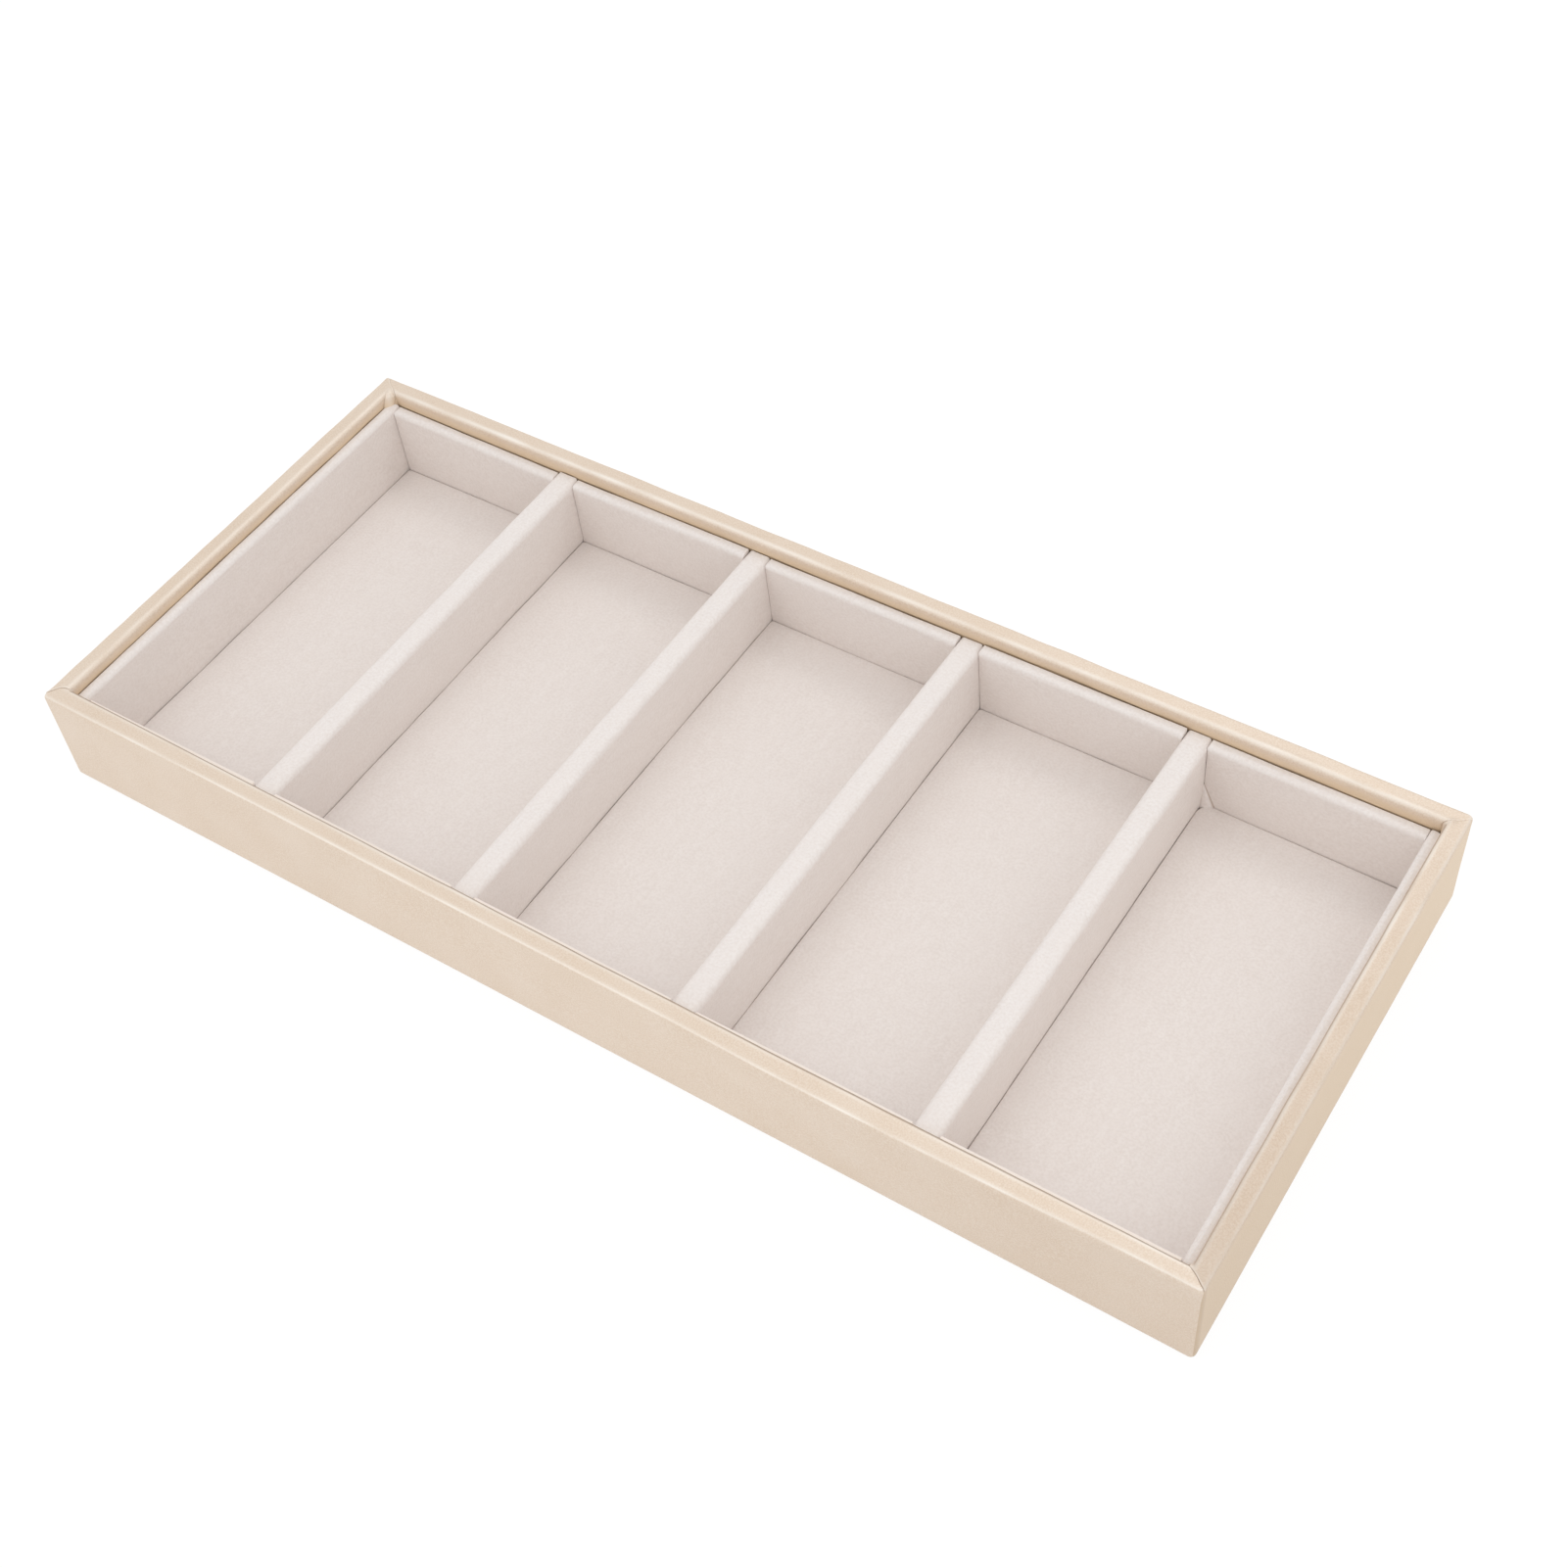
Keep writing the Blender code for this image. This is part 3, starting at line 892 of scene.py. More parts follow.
@dataclass
class Interior:
    """Where the covered cards and dividers stand, as measured in the photograph.

    Pieces that should be alike stand a little off their even places, as in any tray made by hand.

    Attributes:
        compartments: how many compartments the tray has.
        divider_shift: how far each divider's middle lies from its even place.
        divider_slant: how much further its back end lies.
        divider_reach: how far its ends squeeze past the solid's, at the back and at the front.
        left_face: x of the left liner's inner face at foot and head.
        right_face: x of the right liner's inner face at foot and head.
        back_feet: y of each back liner's inner face at the foot, at its left and right ends.
        back_head: y of their inner faces at the head.
        back_tops: height of each back liner's top at its left and right ends.
        front_foot: y of the front liners' inner faces at the foot.
        front_heads: y of each front liner's inner face at the head, at its left and right ends.
        front_behind: y of its outer face there.
        front_tops: height of each front liner's top at its left and right ends.
        end_tops: height of the left and of the right liner.
        pressed: how far in from the tray's sides the liners' outer faces lie, left, right, front and back.
        play: room between neighbours.
        step: how far the lining's top takes to pass from a liner's height to a divider's.
        by_ends: how far in from the tray's ends the lining next to the leather is an end liner.
    """

    compartments: int = 5
    divider_shift: tuple[float, ...] = mm(-0.25, -0.4, 0.75, 1.05)
    divider_slant: tuple[float, ...] = mm(-0.25, 0.1, 0.75, 0.8)
    divider_reach: tuple[float, ...] = mm(0.6, 0.35)
    left_face: tuple[float, ...] = mm(-199.1, -199.8)
    right_face: tuple[float, ...] = mm(199.6, 199.95)
    back_feet: tuple[tuple[float, ...], ...] = (
        mm(79.95, 79.95),
        mm(80.6, 80.6),
        mm(80.75, 80.75),
        mm(80.6, 80.5),
        mm(80.45, 79.05),
    )
    back_head: float = 79.7 * MM
    back_tops: tuple[tuple[float, ...], ...] = (
        mm(34.8, 34.1),
        mm(34.6, 35.1),
        mm(34.7, 34.9),
        mm(35.3, 35.2),
        mm(34.8, 34.4),
    )
    front_foot: float = -81.0 * MM
    front_heads: tuple[tuple[float, ...], ...] = (
        mm(-80.35, -80.75),
        mm(-80.95, -81.4),
        mm(-81.45, -81.83),
        mm(-81.9, -81.8),
        mm(-81.7, -81.5),
    )
    front_behind: tuple[tuple[float, ...], ...] = (
        mm(-83.5, -83.8),
        mm(-83.85, -84.1),
        mm(-84.15, -84.3),
        mm(-84.35, -84.35),
        mm(-84.35, -84.25),
    )
    front_tops: tuple[tuple[float, ...], ...] = (mm(33.9, 35.2), *(mm(35.0, 35.0),) * 4)
    end_tops: tuple[float, ...] = mm(35.6, 35.1)
    pressed: tuple[float, ...] = mm(6.4, 6.75, 6.45, 6.75)
    play: float = 0.1 * MM
    step: float = 0.3 * MM
    by_ends: float = 7.6 * MM

    def side(self, number: int, way: int, y: float, head: bool) -> float:
        """x of a face that bounds a compartment.

        Args:
            number: the divider's number, or 0 for the left liner and that of compartments for the right one.
            way: 1 for a divider's right face and -1 for its left one.
            y: where along the face.
            head: whether at the top or at the foot.

        Returns:
            The face's x there.
        """
        if number in (0, self.compartments):
            return (self.right_face if number else self.left_face)[int(head)]
        low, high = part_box(f"divider_suede_{number}")
        moved = self.divider_shift[number - 1] + self.divider_slant[number - 1] * y / high.y
        return (low.x + high.x) / 2 + moved + way * (high.x - low.x) / 2

    def between(self, number: int, back: tuple[float, float], front: tuple[float, float], head: bool) -> Array:
        """Corners of a piece that fills a compartment's width.

        Args:
            number: the compartment's number, from the left.
            back: y of its back side at the left and right ends.
            front: y of its front side there.
            head: whether at the top or at the foot.

        Returns:
            x and y of the back right, back left, front left and front right corners.
        """
        places = ((number, -1, back[1]), (number - 1, 1, back[0]), (number - 1, 1, front[0]), (number, -1, front[1]))
        return np.array([(self.side(near, way, y, head) + way * self.play, y) for near, way, y in places])

    def level_by(self, grid: Array) -> Array:
        """Height of the lining's top next to each point of the leather's inner face.

        Along the back wall it runs straight through the ends of the liners' and dividers' tops, along the front
        wall it is level, and near the tray's ends it is the end liners'.

        Args:
            grid: points of the leather.

        Returns:
            The height by each point.
        """
        places, heights = [], []
        for number, tops in enumerate(self.back_tops, 1):
            places += [self.side(number - 1, 1, self.back_head, True), self.side(number, -1, self.back_head, True)]
            heights += tops
            if number < self.compartments:
                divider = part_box(f"divider_suede_{number}")[1].z
                places += [places[-1] + self.step, self.side(number, 1, self.back_head, True) - self.step]
                heights += [divider, divider]
        along = np.interp(grid[..., 0], places, heights)
        level = np.where(grid[..., 1] > 0, along, self.front_tops[-1][1])
        end = CAD_BOX[1][0] - self.by_ends
        return np.where(grid[..., 0] < -end, self.end_tops[0], np.where(grid[..., 0] > end, self.end_tops[1], level))

    def back_liner(self, number: int) -> Block:
        """The space of one back liner.

        Args:
            number: its number, from the left.

        Returns:
            The space.
        """
        outer = CAD_BOX[1][1] - self.pressed[3]
        foot = self.between(number, (outer, outer), self.back_feet[number - 1], False)
        head = self.between(number, (outer, outer), (self.back_head,) * 2, True)
        left, right = self.back_tops[number - 1]
        return Block(foot, head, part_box(f"back_liner_suede_{number}")[0].z, np.array([right, left, left, right]))

    def front_liner(self, number: int) -> Block:
        """The space of one front liner.

        Args:
            number: its number, from the left.

        Returns:
            The space.
        """
        outer = CAD_BOX[0][1] + self.pressed[2]
        foot = self.between(number, (self.front_foot,) * 2, (outer, outer), False)
        head = self.between(number, self.front_heads[number - 1], self.front_behind[number - 1], True)
        left, right = self.front_tops[number - 1]
        return Block(foot, head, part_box(f"front_liner_suede_{number}")[0].z, np.array([right, left, left, right]))

    def end_liner(self, stem: str) -> Block:
        """The space of the left or the right liner.

        Args:
            stem: "left" or "right".

        Returns:
            The space.
        """
        low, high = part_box(f"{stem}_liner_suede")
        if stem == "left":
            outer, inner, top = CAD_BOX[0][0] + self.pressed[0], self.left_face, self.end_tops[0]
        else:
            outer, inner, top = CAD_BOX[1][0] - self.pressed[1], self.right_face, self.end_tops[1]
        corners = []
        for face in inner:
            right, left = max(face, outer), min(face, outer)
            corners.append(np.array([(right, high.y), (left, high.y), (left, low.y), (right, low.y)]))
        return Block(corners[0], corners[1], low.z, np.full(4, top))

    def pad(self, number: int) -> Block:
        """The space of one floor pad, which reaches from liner to liner.

        Args:
            number: its number, from the left.

        Returns:
            The space.
        """
        low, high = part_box(f"floor_suede_{number}")
        back = tuple(y - self.play for y in self.back_feet[number - 1])
        front = (self.front_foot + self.play,) * 2
        corners = self.between(number, back, front, False)
        return Block(corners, corners, low.z, np.full(4, high.z))

    def divider(self, number: int) -> Block:
        """The space of one divider, squeezed a little longer than its slot.

        Args:
            number: its number, from the left.

        Returns:
            The space.
        """
        low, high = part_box(f"divider_suede_{number}")
        back, front = high.y + self.divider_reach[0], low.y - self.divider_reach[1]
        places = ((1, back), (-1, back), (-1, front), (1, front))
        corners = np.array([(self.side(number, way, y, True), y) for way, y in places])
        return Block(corners, corners, low.z, np.full(4, high.z))


# Leatherette wrap


@dataclass(frozen=True)
class RimCorner:
    """How the leatherette was folded at one corner of the rim.

    Attributes:
        place: which corner it is.
        lap: the strip that lies on top.
        insets: distances in from the tray's sides at which the seam's shift is given.
        shifts: how far the seam lies from the diagonal there, positive past the corner anticlockwise.
        lip: how far the upper strip's folded edge stands up.
        tuck: how far the web of leather in the inner corner reaches along the wall before it and after it.
        pucker: how far the leather bunches up at the inner end of the seam.
        drawn: how deep the seam's groove is and how dark its line is on the rim; the line is partly painted shadow.
    """

    place: Corner
    lap: Lap
    insets: tuple[float, ...]
    shifts: tuple[float, ...]
    lip: float
    tuck: tuple[float, ...]
    pucker: float
    drawn: float


RIM_CORNERS = (
    RimCorner(
        place=Corner.FRONT_RIGHT,
        lap=Lap.SHORT_WALL,
        insets=mm(0.6, 2.1, 3.4, 4.4, 5.3, 6.0),
        shifts=mm(0.45, 0.1, 0.0, -0.25, -0.8, -1.25),
        lip=0.22 * MM,
        tuck=mm(1.2, 1.2),
        pucker=0.05 * MM,
        drawn=0.7,
    ),
    RimCorner(
        place=Corner.BACK_RIGHT,
        lap=Lap.LONG_WALL,
        insets=mm(0.0, 0.6, 1.8, 3.0, 3.8, 4.9, 5.9, 6.7),
        shifts=mm(-1.8, -1.6, -1.45, -1.35, -1.2, -0.5, 0.5, 1.2),
        lip=0.06 * MM,
        tuck=mm(0.95, 0.95),
        pucker=0.45 * MM,
        drawn=0.2,
    ),
    RimCorner(
        place=Corner.BACK_LEFT,
        lap=Lap.SHORT_WALL,
        insets=mm(0.4, 1.4, 2.9, 3.9, 5.1, 6.0, 6.7),
        shifts=mm(-0.7, -1.35, -1.4, -1.8, -2.35, -2.5, -2.6),
        lip=0.15 * MM,
        tuck=mm(2.8, 5.2),
        pucker=0.2 * MM,
        drawn=0.25,
    ),
    RimCorner(
        place=Corner.FRONT_LEFT,
        lap=Lap.SHORT_WALL,
        insets=mm(0.4, 1.8, 2.9, 4.1, 6.0, 6.7),
        shifts=mm(-1.5, -1.95, -2.2, -1.8, -0.4, 0.0),
        lip=0.2 * MM,
        tuck=mm(0.9, 0.9),
        pucker=0.0,
        drawn=0.6,
    ),
)


@dataclass
class LeatherWrap:
    """One strip of leatherette round the walls, turned in over the rim and under the base.

    Its grid has a row for each point of the section and a column for each place round the tray. An array with
    one value per row keeps a second axis of one, so that it spreads over the columns.

    Attributes:
        finish: the leatherette's material.
        interior: the lining that it meets.
        thickness: thickness of the leatherette.
        rim_width: width of the rim.
        rim_roll: radius of the rim's inner edge.
        outer_edge: radius of the walls' outer edges, at the top and the foot.
        upright_edge: radius of the outer corners, seen from above.
        turn_in: how far the strip is turned in, below the rim.
        turn_under: how far it is turned under the base.
        liner_drop: how far the lining's top lies below the rim.
        wall_wave: unevenness of the walls.
        roll_wave: unevenness of the rim's inner edge.
        right_tilt: how far the right rim slopes down to its outer edge.
        right_painted_shade: how strongly painted shade darkens that rim, more towards the front.
        edge_paling_and_highlight: how pale the rim's edges and the seams' lips are, drawn tight and lit by painted
            highlight.
        front_bulge: places along the front wall, and how far its top edge bulges out there.
        thinner: how far out the inner face is pressed on the left and right, and on the front and back.
        front_inner: places along the front wall, and how much further out its inner face lies there.
        corners: how each corner was folded.
    """

    finish: bpy.types.Material
    interior: Interior
    thickness: float = 0.8 * MM
    rim_width: float = 6.7 * MM
    rim_roll: float = 1.6 * MM
    outer_edge: float = 1.0 * MM
    upright_edge: float = 1.8 * MM
    turn_in: float = 11.5 * MM
    turn_under: float = 12.0 * MM
    liner_drop: float = 5.0 * MM
    wall_wave: float = 0.05 * MM
    roll_wave: float = 0.11 * MM
    right_tilt: float = 0.30 * MM
    right_painted_shade: float = 0.27
    edge_paling_and_highlight: float = 0.8
    front_bulge: tuple[tuple[float, ...], ...] = (
        (-0.110, -0.028, 0.038, 0.078, 0.116, 0.161, 0.185),
        mm(0.0, 0.45, 0.6, 1.4, 1.3, 0.65, 0.0),
    )
    thinner: tuple[tuple[float, ...], ...] = (mm(0.5, 0.28), mm(0.28, 0.35))
    front_inner: tuple[tuple[float, ...], ...] = (
        (-0.200, -0.178, -0.140, -0.100, -0.060, -0.018, 0.018, 0.060, 0.147, 0.178, 0.200),
        mm(-0.6, -0.6, -0.45, -0.25, 0.0, 0.2, 0.38, 0.42, 0.43, 0.3, 0.2),
    )
    corners: tuple[RimCorner, ...] = RIM_CORNERS

    def __post_init__(self) -> None:
        """Reads the outline that the wrap has in the frame, and lays out its rows, columns, seams and webs."""
        low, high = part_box("leather_wrap")
        self.half = np.array([high.x, high.y])
        self.inner = self.half - self.rim_width
        self.foot, self.top, self.ledge = low.z, high.z, high.z - self.liner_drop
        self.lay_rows()
        self.lay_columns()
        self.lay_seams()

    def bend(self, inset: float, z: float, radius: float, first: float, last: float, steps: int) -> Array:
        """A rounded corner of the section.

        A circle's arc between two quarter turns, tangent to the two lines that cross at the sharp corner; at
        turn 0 the surface faces out of the tray and at 1 it faces up.

        Args:
            inset: inset of the sharp corner.
            z: its height.
            radius: radius of the arc.
            first: quarter turn at which the arc starts.
            last: quarter turn at which it ends.
            steps: how many steps it has.

        Returns:
            Rows of (inset, z).
        """
        middle = (first + last) * math.pi / 4
        reach = math.sqrt(2) * radius
        centre = np.array([inset + reach * math.cos(middle), z - reach * math.sin(middle)])
        turns = np.linspace(first, last, steps + 1) * math.pi / 2
        return centre + radius * np.stack([-np.cos(turns), np.sin(turns)], -1)

    def lay_rows(self) -> None:
        """Works out the leather's section as a closed line, and which of its rows lie where.

        The rows of (inset, z) run from the turned-under edge up the outside, over the rim, down to the edge of
        the turned-in part, and back along the inner face.
        """
        under = np.linspace(self.turn_under, self.outer_edge + 0.5 * MM, 5)
        wall = np.linspace(self.foot + self.outer_edge, self.top - self.outer_edge, 15)[1:-1]
        flat = np.linspace(self.outer_edge, self.rim_width - self.rim_roll, 10)[1:-1]
        face = np.concatenate(
            [
                np.linspace(self.top - self.rim_roll, self.ledge + 1.0 * MM, 7)[1:],
                [self.ledge + 0.7 * MM, self.ledge + 0.5 * MM],
                np.arange(self.ledge + 0.3 * MM, self.ledge - 1.4 * MM, -0.2 * MM),
                [self.ledge - 3.5 * MM, self.top - self.turn_in],
            ]
        )
        outside = np.concatenate(
            [
                np.stack([under, np.full_like(under, self.foot)], -1),
                self.bend(0, self.foot, self.outer_edge, -1, 0, 5),
                np.stack([np.zeros_like(wall), wall], -1),
                self.bend(0, self.top, self.outer_edge, 0, 1, 7),
                np.stack([flat, np.full_like(flat, self.top)], -1),
                self.bend(self.rim_width, self.top, self.rim_roll, 1, 2, 9),
                np.stack([np.full_like(face, self.rim_width), face], -1),
            ]
        )
        skin, inner_roll = self.thickness, self.rim_roll - self.thickness
        small = self.outer_edge - self.thickness
        inside = np.concatenate(
            [
                [[self.rim_width - skin, self.top - self.turn_in]],
                self.bend(self.rim_width - skin, self.top - skin, inner_roll, 2, 1, 3),
                self.bend(skin, self.top - skin, small, 1, 0, 2),
                self.bend(skin, self.foot + skin, small, 0, -1, 2),
                [[self.turn_under, self.foot + skin]],
            ]
        )
        self.inset, self.z = np.split(np.concatenate([outside, inside]), 2, 1)
        self.drop = self.top - self.z
        self.outer = np.concatenate([np.ones(len(outside)), np.zeros(len(inside))])[:, None]
        self.over_rim = ((self.inset > 0.05 * MM) & (self.z > self.top - self.rim_roll)) * self.outer
        self.inner_face = (self.inset > self.rim_width - self.rim_roll) * self.outer
        self.on_wall = (self.inset < 0.5 * MM) * self.outer
        self.under = (self.z < self.foot + 0.01 * MM) * self.outer

    def lay_columns(self) -> None:
        """Works out which corner each column belongs to, and its distance from it, negative before the corner.

        Near a corner the columns stand close enough to draw the seam; along the walls they stand 3 mm apart.
        """
        closest = (0.0, 0.06, 0.12, 0.2, 0.3, 0.42, 0.6, 0.8, 1.05, 1.3)
        near = np.concatenate([closest, np.arange(1.6, 6.5, 0.3), [7.2]]) * MM
        owners, rows = [], []
        for number, corner in enumerate(self.corners):
            before, after = self.half if math.prod(corner.place.value) < 0 else self.half[::-1]
            run_in = np.linspace(near[-1], before, int((before - near[-1]) / (3 * MM)) + 2)[1:]
            run_out = np.linspace(near[-1], after, int((after - near[-1]) / (3 * MM)) + 2)[1:-1]
            rows.append(np.concatenate([-run_in[::-1], -near[:0:-1], near, run_out]))
            owners.append(np.full(len(rows[-1]), number))
        self.corner_of, self.nominal = np.concatenate(owners), np.concatenate(rows)
        self.signs = np.array([corner.place.value for corner in self.corners], float)[self.corner_of]
        self.long_first = self.signs.prod(1) < 0
        self.end_joint = (self.signs == Corner.BACK_LEFT.value).all(1)

    def by_corner(self, name: str) -> Array:
        """A value that the corners have under this name, for each column."""
        return np.array([getattr(corner, name) for corner in self.corners])[self.corner_of]

    def lay_seams(self) -> None:
        """Works out where the columns lie beside the seams in each row, and where the corners' webs are.

        Near a corner, and above all on the rim, the columns are shifted along the wall as the seam is at the
        row's inset. The web opens as the depth below the rim to the power 0.4 and closes behind the lining. Its
        value is 1 in the inner corner and falls to 0 where it leaves the wall, at the reach of its own side.
        """
        laps = np.array([corner.lap.value for corner in self.corners])[self.corner_of]
        self.gap = self.nominal * np.where(self.long_first, laps, -laps)
        above = eased(self.z, self.top - 8 * MM, self.top - 1 * MM) * self.outer
        curves = [curve_through(self.inset, corner.insets, corner.shifts, 0.7 * MM) for corner in self.corners]
        near_corner = 1 - eased(np.abs(self.nominal), 0.5 * MM, 9 * MM)
        self.distance = self.nominal + np.concatenate(curves, 1)[:, self.corner_of] * near_corner * above
        depth = np.clip((self.top + 0.4 * MM - self.z) / (self.liner_drop + 0.4 * MM), 0, 1)
        opened = depth**0.4 * eased(self.inset, self.rim_width - self.rim_roll - 0.2 * MM, self.rim_width - 0.6 * MM)
        behind = 1 - eased(self.z, self.ledge - 0.6 * MM, self.ledge - 0.3 * MM)
        opened = opened * self.outer * (1 - 0.95 * behind)
        before, after = (opened * reach for reach in self.by_corner("tuck").T)
        self.own = np.where(self.distance < 0, before, after)
        self.other = np.where(self.distance < 0, after, before)
        self.wide = np.clip((self.own + self.other) / (8 * MM), 0, 1)
        self.web = np.clip(1 - np.abs(self.distance) / np.maximum(self.own, 1e-9), 0, 1) * self.wide
        self.pinch = bell(self.distance - self.own, 0.3 * MM) * self.wide * (self.distance > 0)

    def placed(self) -> Array:
        """Points of the section's rows at the columns' places round the tray.

        A row is a rectangle drawn in by its inset. A column lies on the side before its corner if its
        distance is negative, and after it otherwise, at that distance from the corner, scaled so that the
        columns of two corners meet mid-side. Within the upright edge's radius the point moves onto the arc.
        Where the leather is tucked in an inner corner, it moves onto the web that cuts the corner off.

        Returns:
            Points by row and column.
        """
        on_long = np.where(self.distance < 0, self.long_first, ~self.long_first)
        half_along, half_across = np.where(on_long, *self.half), np.where(on_long, *self.half[::-1])
        reach = half_along - self.inset
        off = np.abs(self.distance) * reach / half_along
        radius = np.maximum(self.upright_edge - self.inset, 1e-9)
        turn = np.clip(1 - off / radius, 0, 1) * math.pi / 4
        on_arc = off < radius
        along = np.where(on_arc, reach - radius + radius * np.sin(turn), reach - off)
        drawn = np.where(on_arc, -radius * (1 - np.cos(turn)), 0.0)
        in_web = off < self.own
        share = off / np.maximum(self.own, 1e-9)
        along = np.where(in_web, reach - self.own * (0.5 + 0.5 * share), along)
        drawn = np.where(in_web, -0.5 * self.other * (1 - share), drawn)
        across = half_across - self.inset + drawn
        x = np.where(on_long, along, across) * self.signs[:, 0]
        y = np.where(on_long, across, along) * self.signs[:, 1]
        return np.stack([x, y, np.broadcast_to(self.z, x.shape)], -1)

    def press_inner_face(self, grid: Array) -> None:
        """Moves the turned-in part's face outwards where the leather is pressed thinner or the wall is bowed.

        Each wall's shift is eased in over its rim and out again towards the tray's middle.

        Args:
            grid: points by row and column, which are moved.
        """
        for axis, (at_low, at_high) in enumerate(self.thinner):
            deep = self.half[axis] - np.abs(grid[..., axis])
            moved = eased(deep, 1.5 * MM, 5.5 * MM) * (1 - eased(deep, 8 * MM, 40 * MM))
            shift = np.where(grid[..., axis] < 0, at_low, at_high)
            if axis:
                bowed = curve_through(grid[..., 0], *self.front_inner, 15 * MM)
                shift = shift + np.where(grid[..., axis] < 0, bowed, 0.0)
            grid[..., axis] += np.sign(grid[..., axis]) * shift * moved

    def bulge_of_front(self, grid: Array) -> Array:
        """How far the front wall's outer top edge bulges out.

        A smooth curve along the wall, times a smooth step from foot to top, times one that falls to nothing
        at the rim's inner edge.

        Args:
            grid: points by row and column.

        Returns:
            The distance at each point.
        """
        depth = grid[..., 1] + self.half[1]
        across = 1 - eased(depth, 0.6 * MM, self.rim_width - 0.6 * MM)
        along = curve_through(grid[..., 0], *self.front_bulge, 22 * MM)
        return along * across * eased(self.z, self.foot + 3 * MM, self.top - 3 * MM)

    def relief(self, lip: float | Array, drawn: float | Array) -> Array:
        """Height across a seam: a narrow groove, then the upper strip's rounded folded edge, fading away.

        Below the seam the height is minus 0.22 mm times how strongly it shows times e^-(d / 0.11 mm)^2. Above
        it, the lip rises as 1 - e^-(d / 0.1 mm) and dies away as e^-(d / 1.6 mm)^2, less the same groove.

        Args:
            lip: height of the folded edge.
            drawn: how strongly the seam shows.

        Returns:
            The height for each column.
        """
        groove = -0.22 * MM * drawn * bell(self.gap, 0.11 * MM)
        away = np.maximum(self.gap, 0)
        return groove + lip * (1 - np.exp(-away / (0.1 * MM))) * bell(away, 1.6 * MM)

    def seams(self) -> Array:
        """Height of the seams over the rim and inside it, under the base, and down the strip's end joint.

        Returns:
            The height at each point of the grid.
        """
        folded = self.relief(self.by_corner("lip"), self.by_corner("drawn"))
        height = folded * eased(self.z, self.top - 1.2 * MM, self.top - 0.3 * MM) * self.over_rim
        height += folded * 0.6 * (self.inner_face * (self.z < self.top - 1.2 * MM))
        height += self.relief(0.1 * MM, 0.7) * self.under * (self.inset > self.upright_edge)
        height += self.relief(0.12 * MM, 0.7) * (self.on_wall * self.end_joint)
        return height

    def folds(self) -> tuple[Array, Array]:
        """Height of the leather bunched up at the seams' inner ends, and of the webs.

        A bunch is a bump of e^-(d / 1.3 mm)^2 along the wall and e^-(d / 1.1 mm)^2 across the rim. A web
        bulges by 0.55 mm times the sine of a quarter turn times its value, less a pinch where it starts.

        Returns:
            The two heights at each point of the grid.
        """
        bunch = bell(self.nominal, 1.3 * MM) * self.by_corner("pucker")
        bunch = bunch * bell(self.inset - (self.rim_width - self.rim_roll), 1.1 * MM) * self.outer
        return bunch, 0.55 * MM * np.sin(0.5 * math.pi * self.web) - 0.15 * MM * self.pinch

    def unevenness(self, grid: Array) -> tuple[Array, Array, Array]:
        """Height of the unevenness of the walls, of the rim's inner roll and of its outer edge.

        Args:
            grid: points by row and column.

        Returns:
            The three heights at each point.
        """
        wave = self.wall_wave * ripple(grid, 70 * MM, 11) + 0.4 * self.wall_wave * ripple(grid, 16 * MM, 12)
        wave = wave * (self.outer * eased(self.z, self.foot, self.foot + 2 * MM))
        rolled = bell(self.inset - self.rim_width + 0.8 * MM, 1.3 * MM) * (self.z > self.ledge) * self.outer
        rolls = self.roll_wave * (ripple(grid, 24 * MM, 21) + 0.5 * ripple(grid, 9 * MM, 22)) * rolled
        smooth = (grid[..., 1] < 1 * MM - self.inner[1]) | (grid[..., 0] > self.inner[0] - 1 * MM)
        edged = bell(self.inset, 0.6 * MM) * (self.z > self.top - 1.5 * MM) * self.outer
        edges = 0.04 * MM * ripple(grid, 14 * MM, 31) * edged
        return wave, rolls * np.where(smooth, 0.35, 1.0), edges

    def lower_right_rim(self, grid: Array) -> None:
        """Slopes the right rim down to its outer edge, but for its ends.

        Args:
            grid: points by row and column, which are moved.
        """
        x, y = grid[..., 0], grid[..., 1]
        right = eased(x, self.inner[0] - 1 * MM, self.inner[0] + 0.5 * MM)
        clear = eased(self.half[1] - np.abs(y), 1 * MM, 12 * MM)
        outer_share = 1 - np.clip((self.half[0] - x) / self.rim_width, 0, 1)
        near_top = self.outer * eased(self.z, self.top - 6 * MM, self.top - 0.5 * MM)
        grid[..., 2] -= self.right_tilt * outer_share * right * clear * near_top

    def pulled_and_highlit(self, grid: Array) -> Array:
        """How pale the leather is on the rim's edges, the seams' folded lips and the webs: drawn tight, and painted
        highlight.

        Args:
            grid: points by row and column.

        Returns:
            The share of the pale colour at each point.
        """
        x, y = grid[..., 0], grid[..., 1]
        # Painted highlight on the outer top edge, only on the front and the right, where the light falls.
        lit = np.maximum(y < -self.half[1] + 2 * MM, 0.7 * (x > self.half[0] - 2 * MM))
        arris = bell(self.z - self.top + 0.1 * MM, 0.22 * MM)
        arris = arris * bell(np.maximum(self.inset - 0.5 * MM, 0), 0.7 * MM) * self.outer
        # Painted highlight along the rim's inner roll, weaker on the left.
        crest = bell(self.inset - self.rim_width + 1.0 * MM, 0.7 * MM) * (self.z > self.top - 1.0 * MM) * self.outer
        edges = np.maximum(arris * lit, np.where(x < 1 * MM - self.inner[0], 0.5, 0.95) * crest)
        edges = edges * (0.8 + 0.2 * ripple(grid, 20 * MM, 41))
        # Painted highlight on the seams' folded lips.
        fold = bell(self.gap - 0.42 * MM, 0.28 * MM) * self.over_rim * (self.by_corner("lip") / (0.24 * MM))
        # The webs are paler towards the top: leather drawn tight, and painted highlight.
        web = (0.35 + 0.4 * eased(self.z, self.top - 3 * MM, self.top - 1 * MM)) * self.web * (1 - self.pinch)
        return np.maximum(np.clip(self.edge_paling_and_highlight * np.maximum(edges, fold), 0, 1), web)

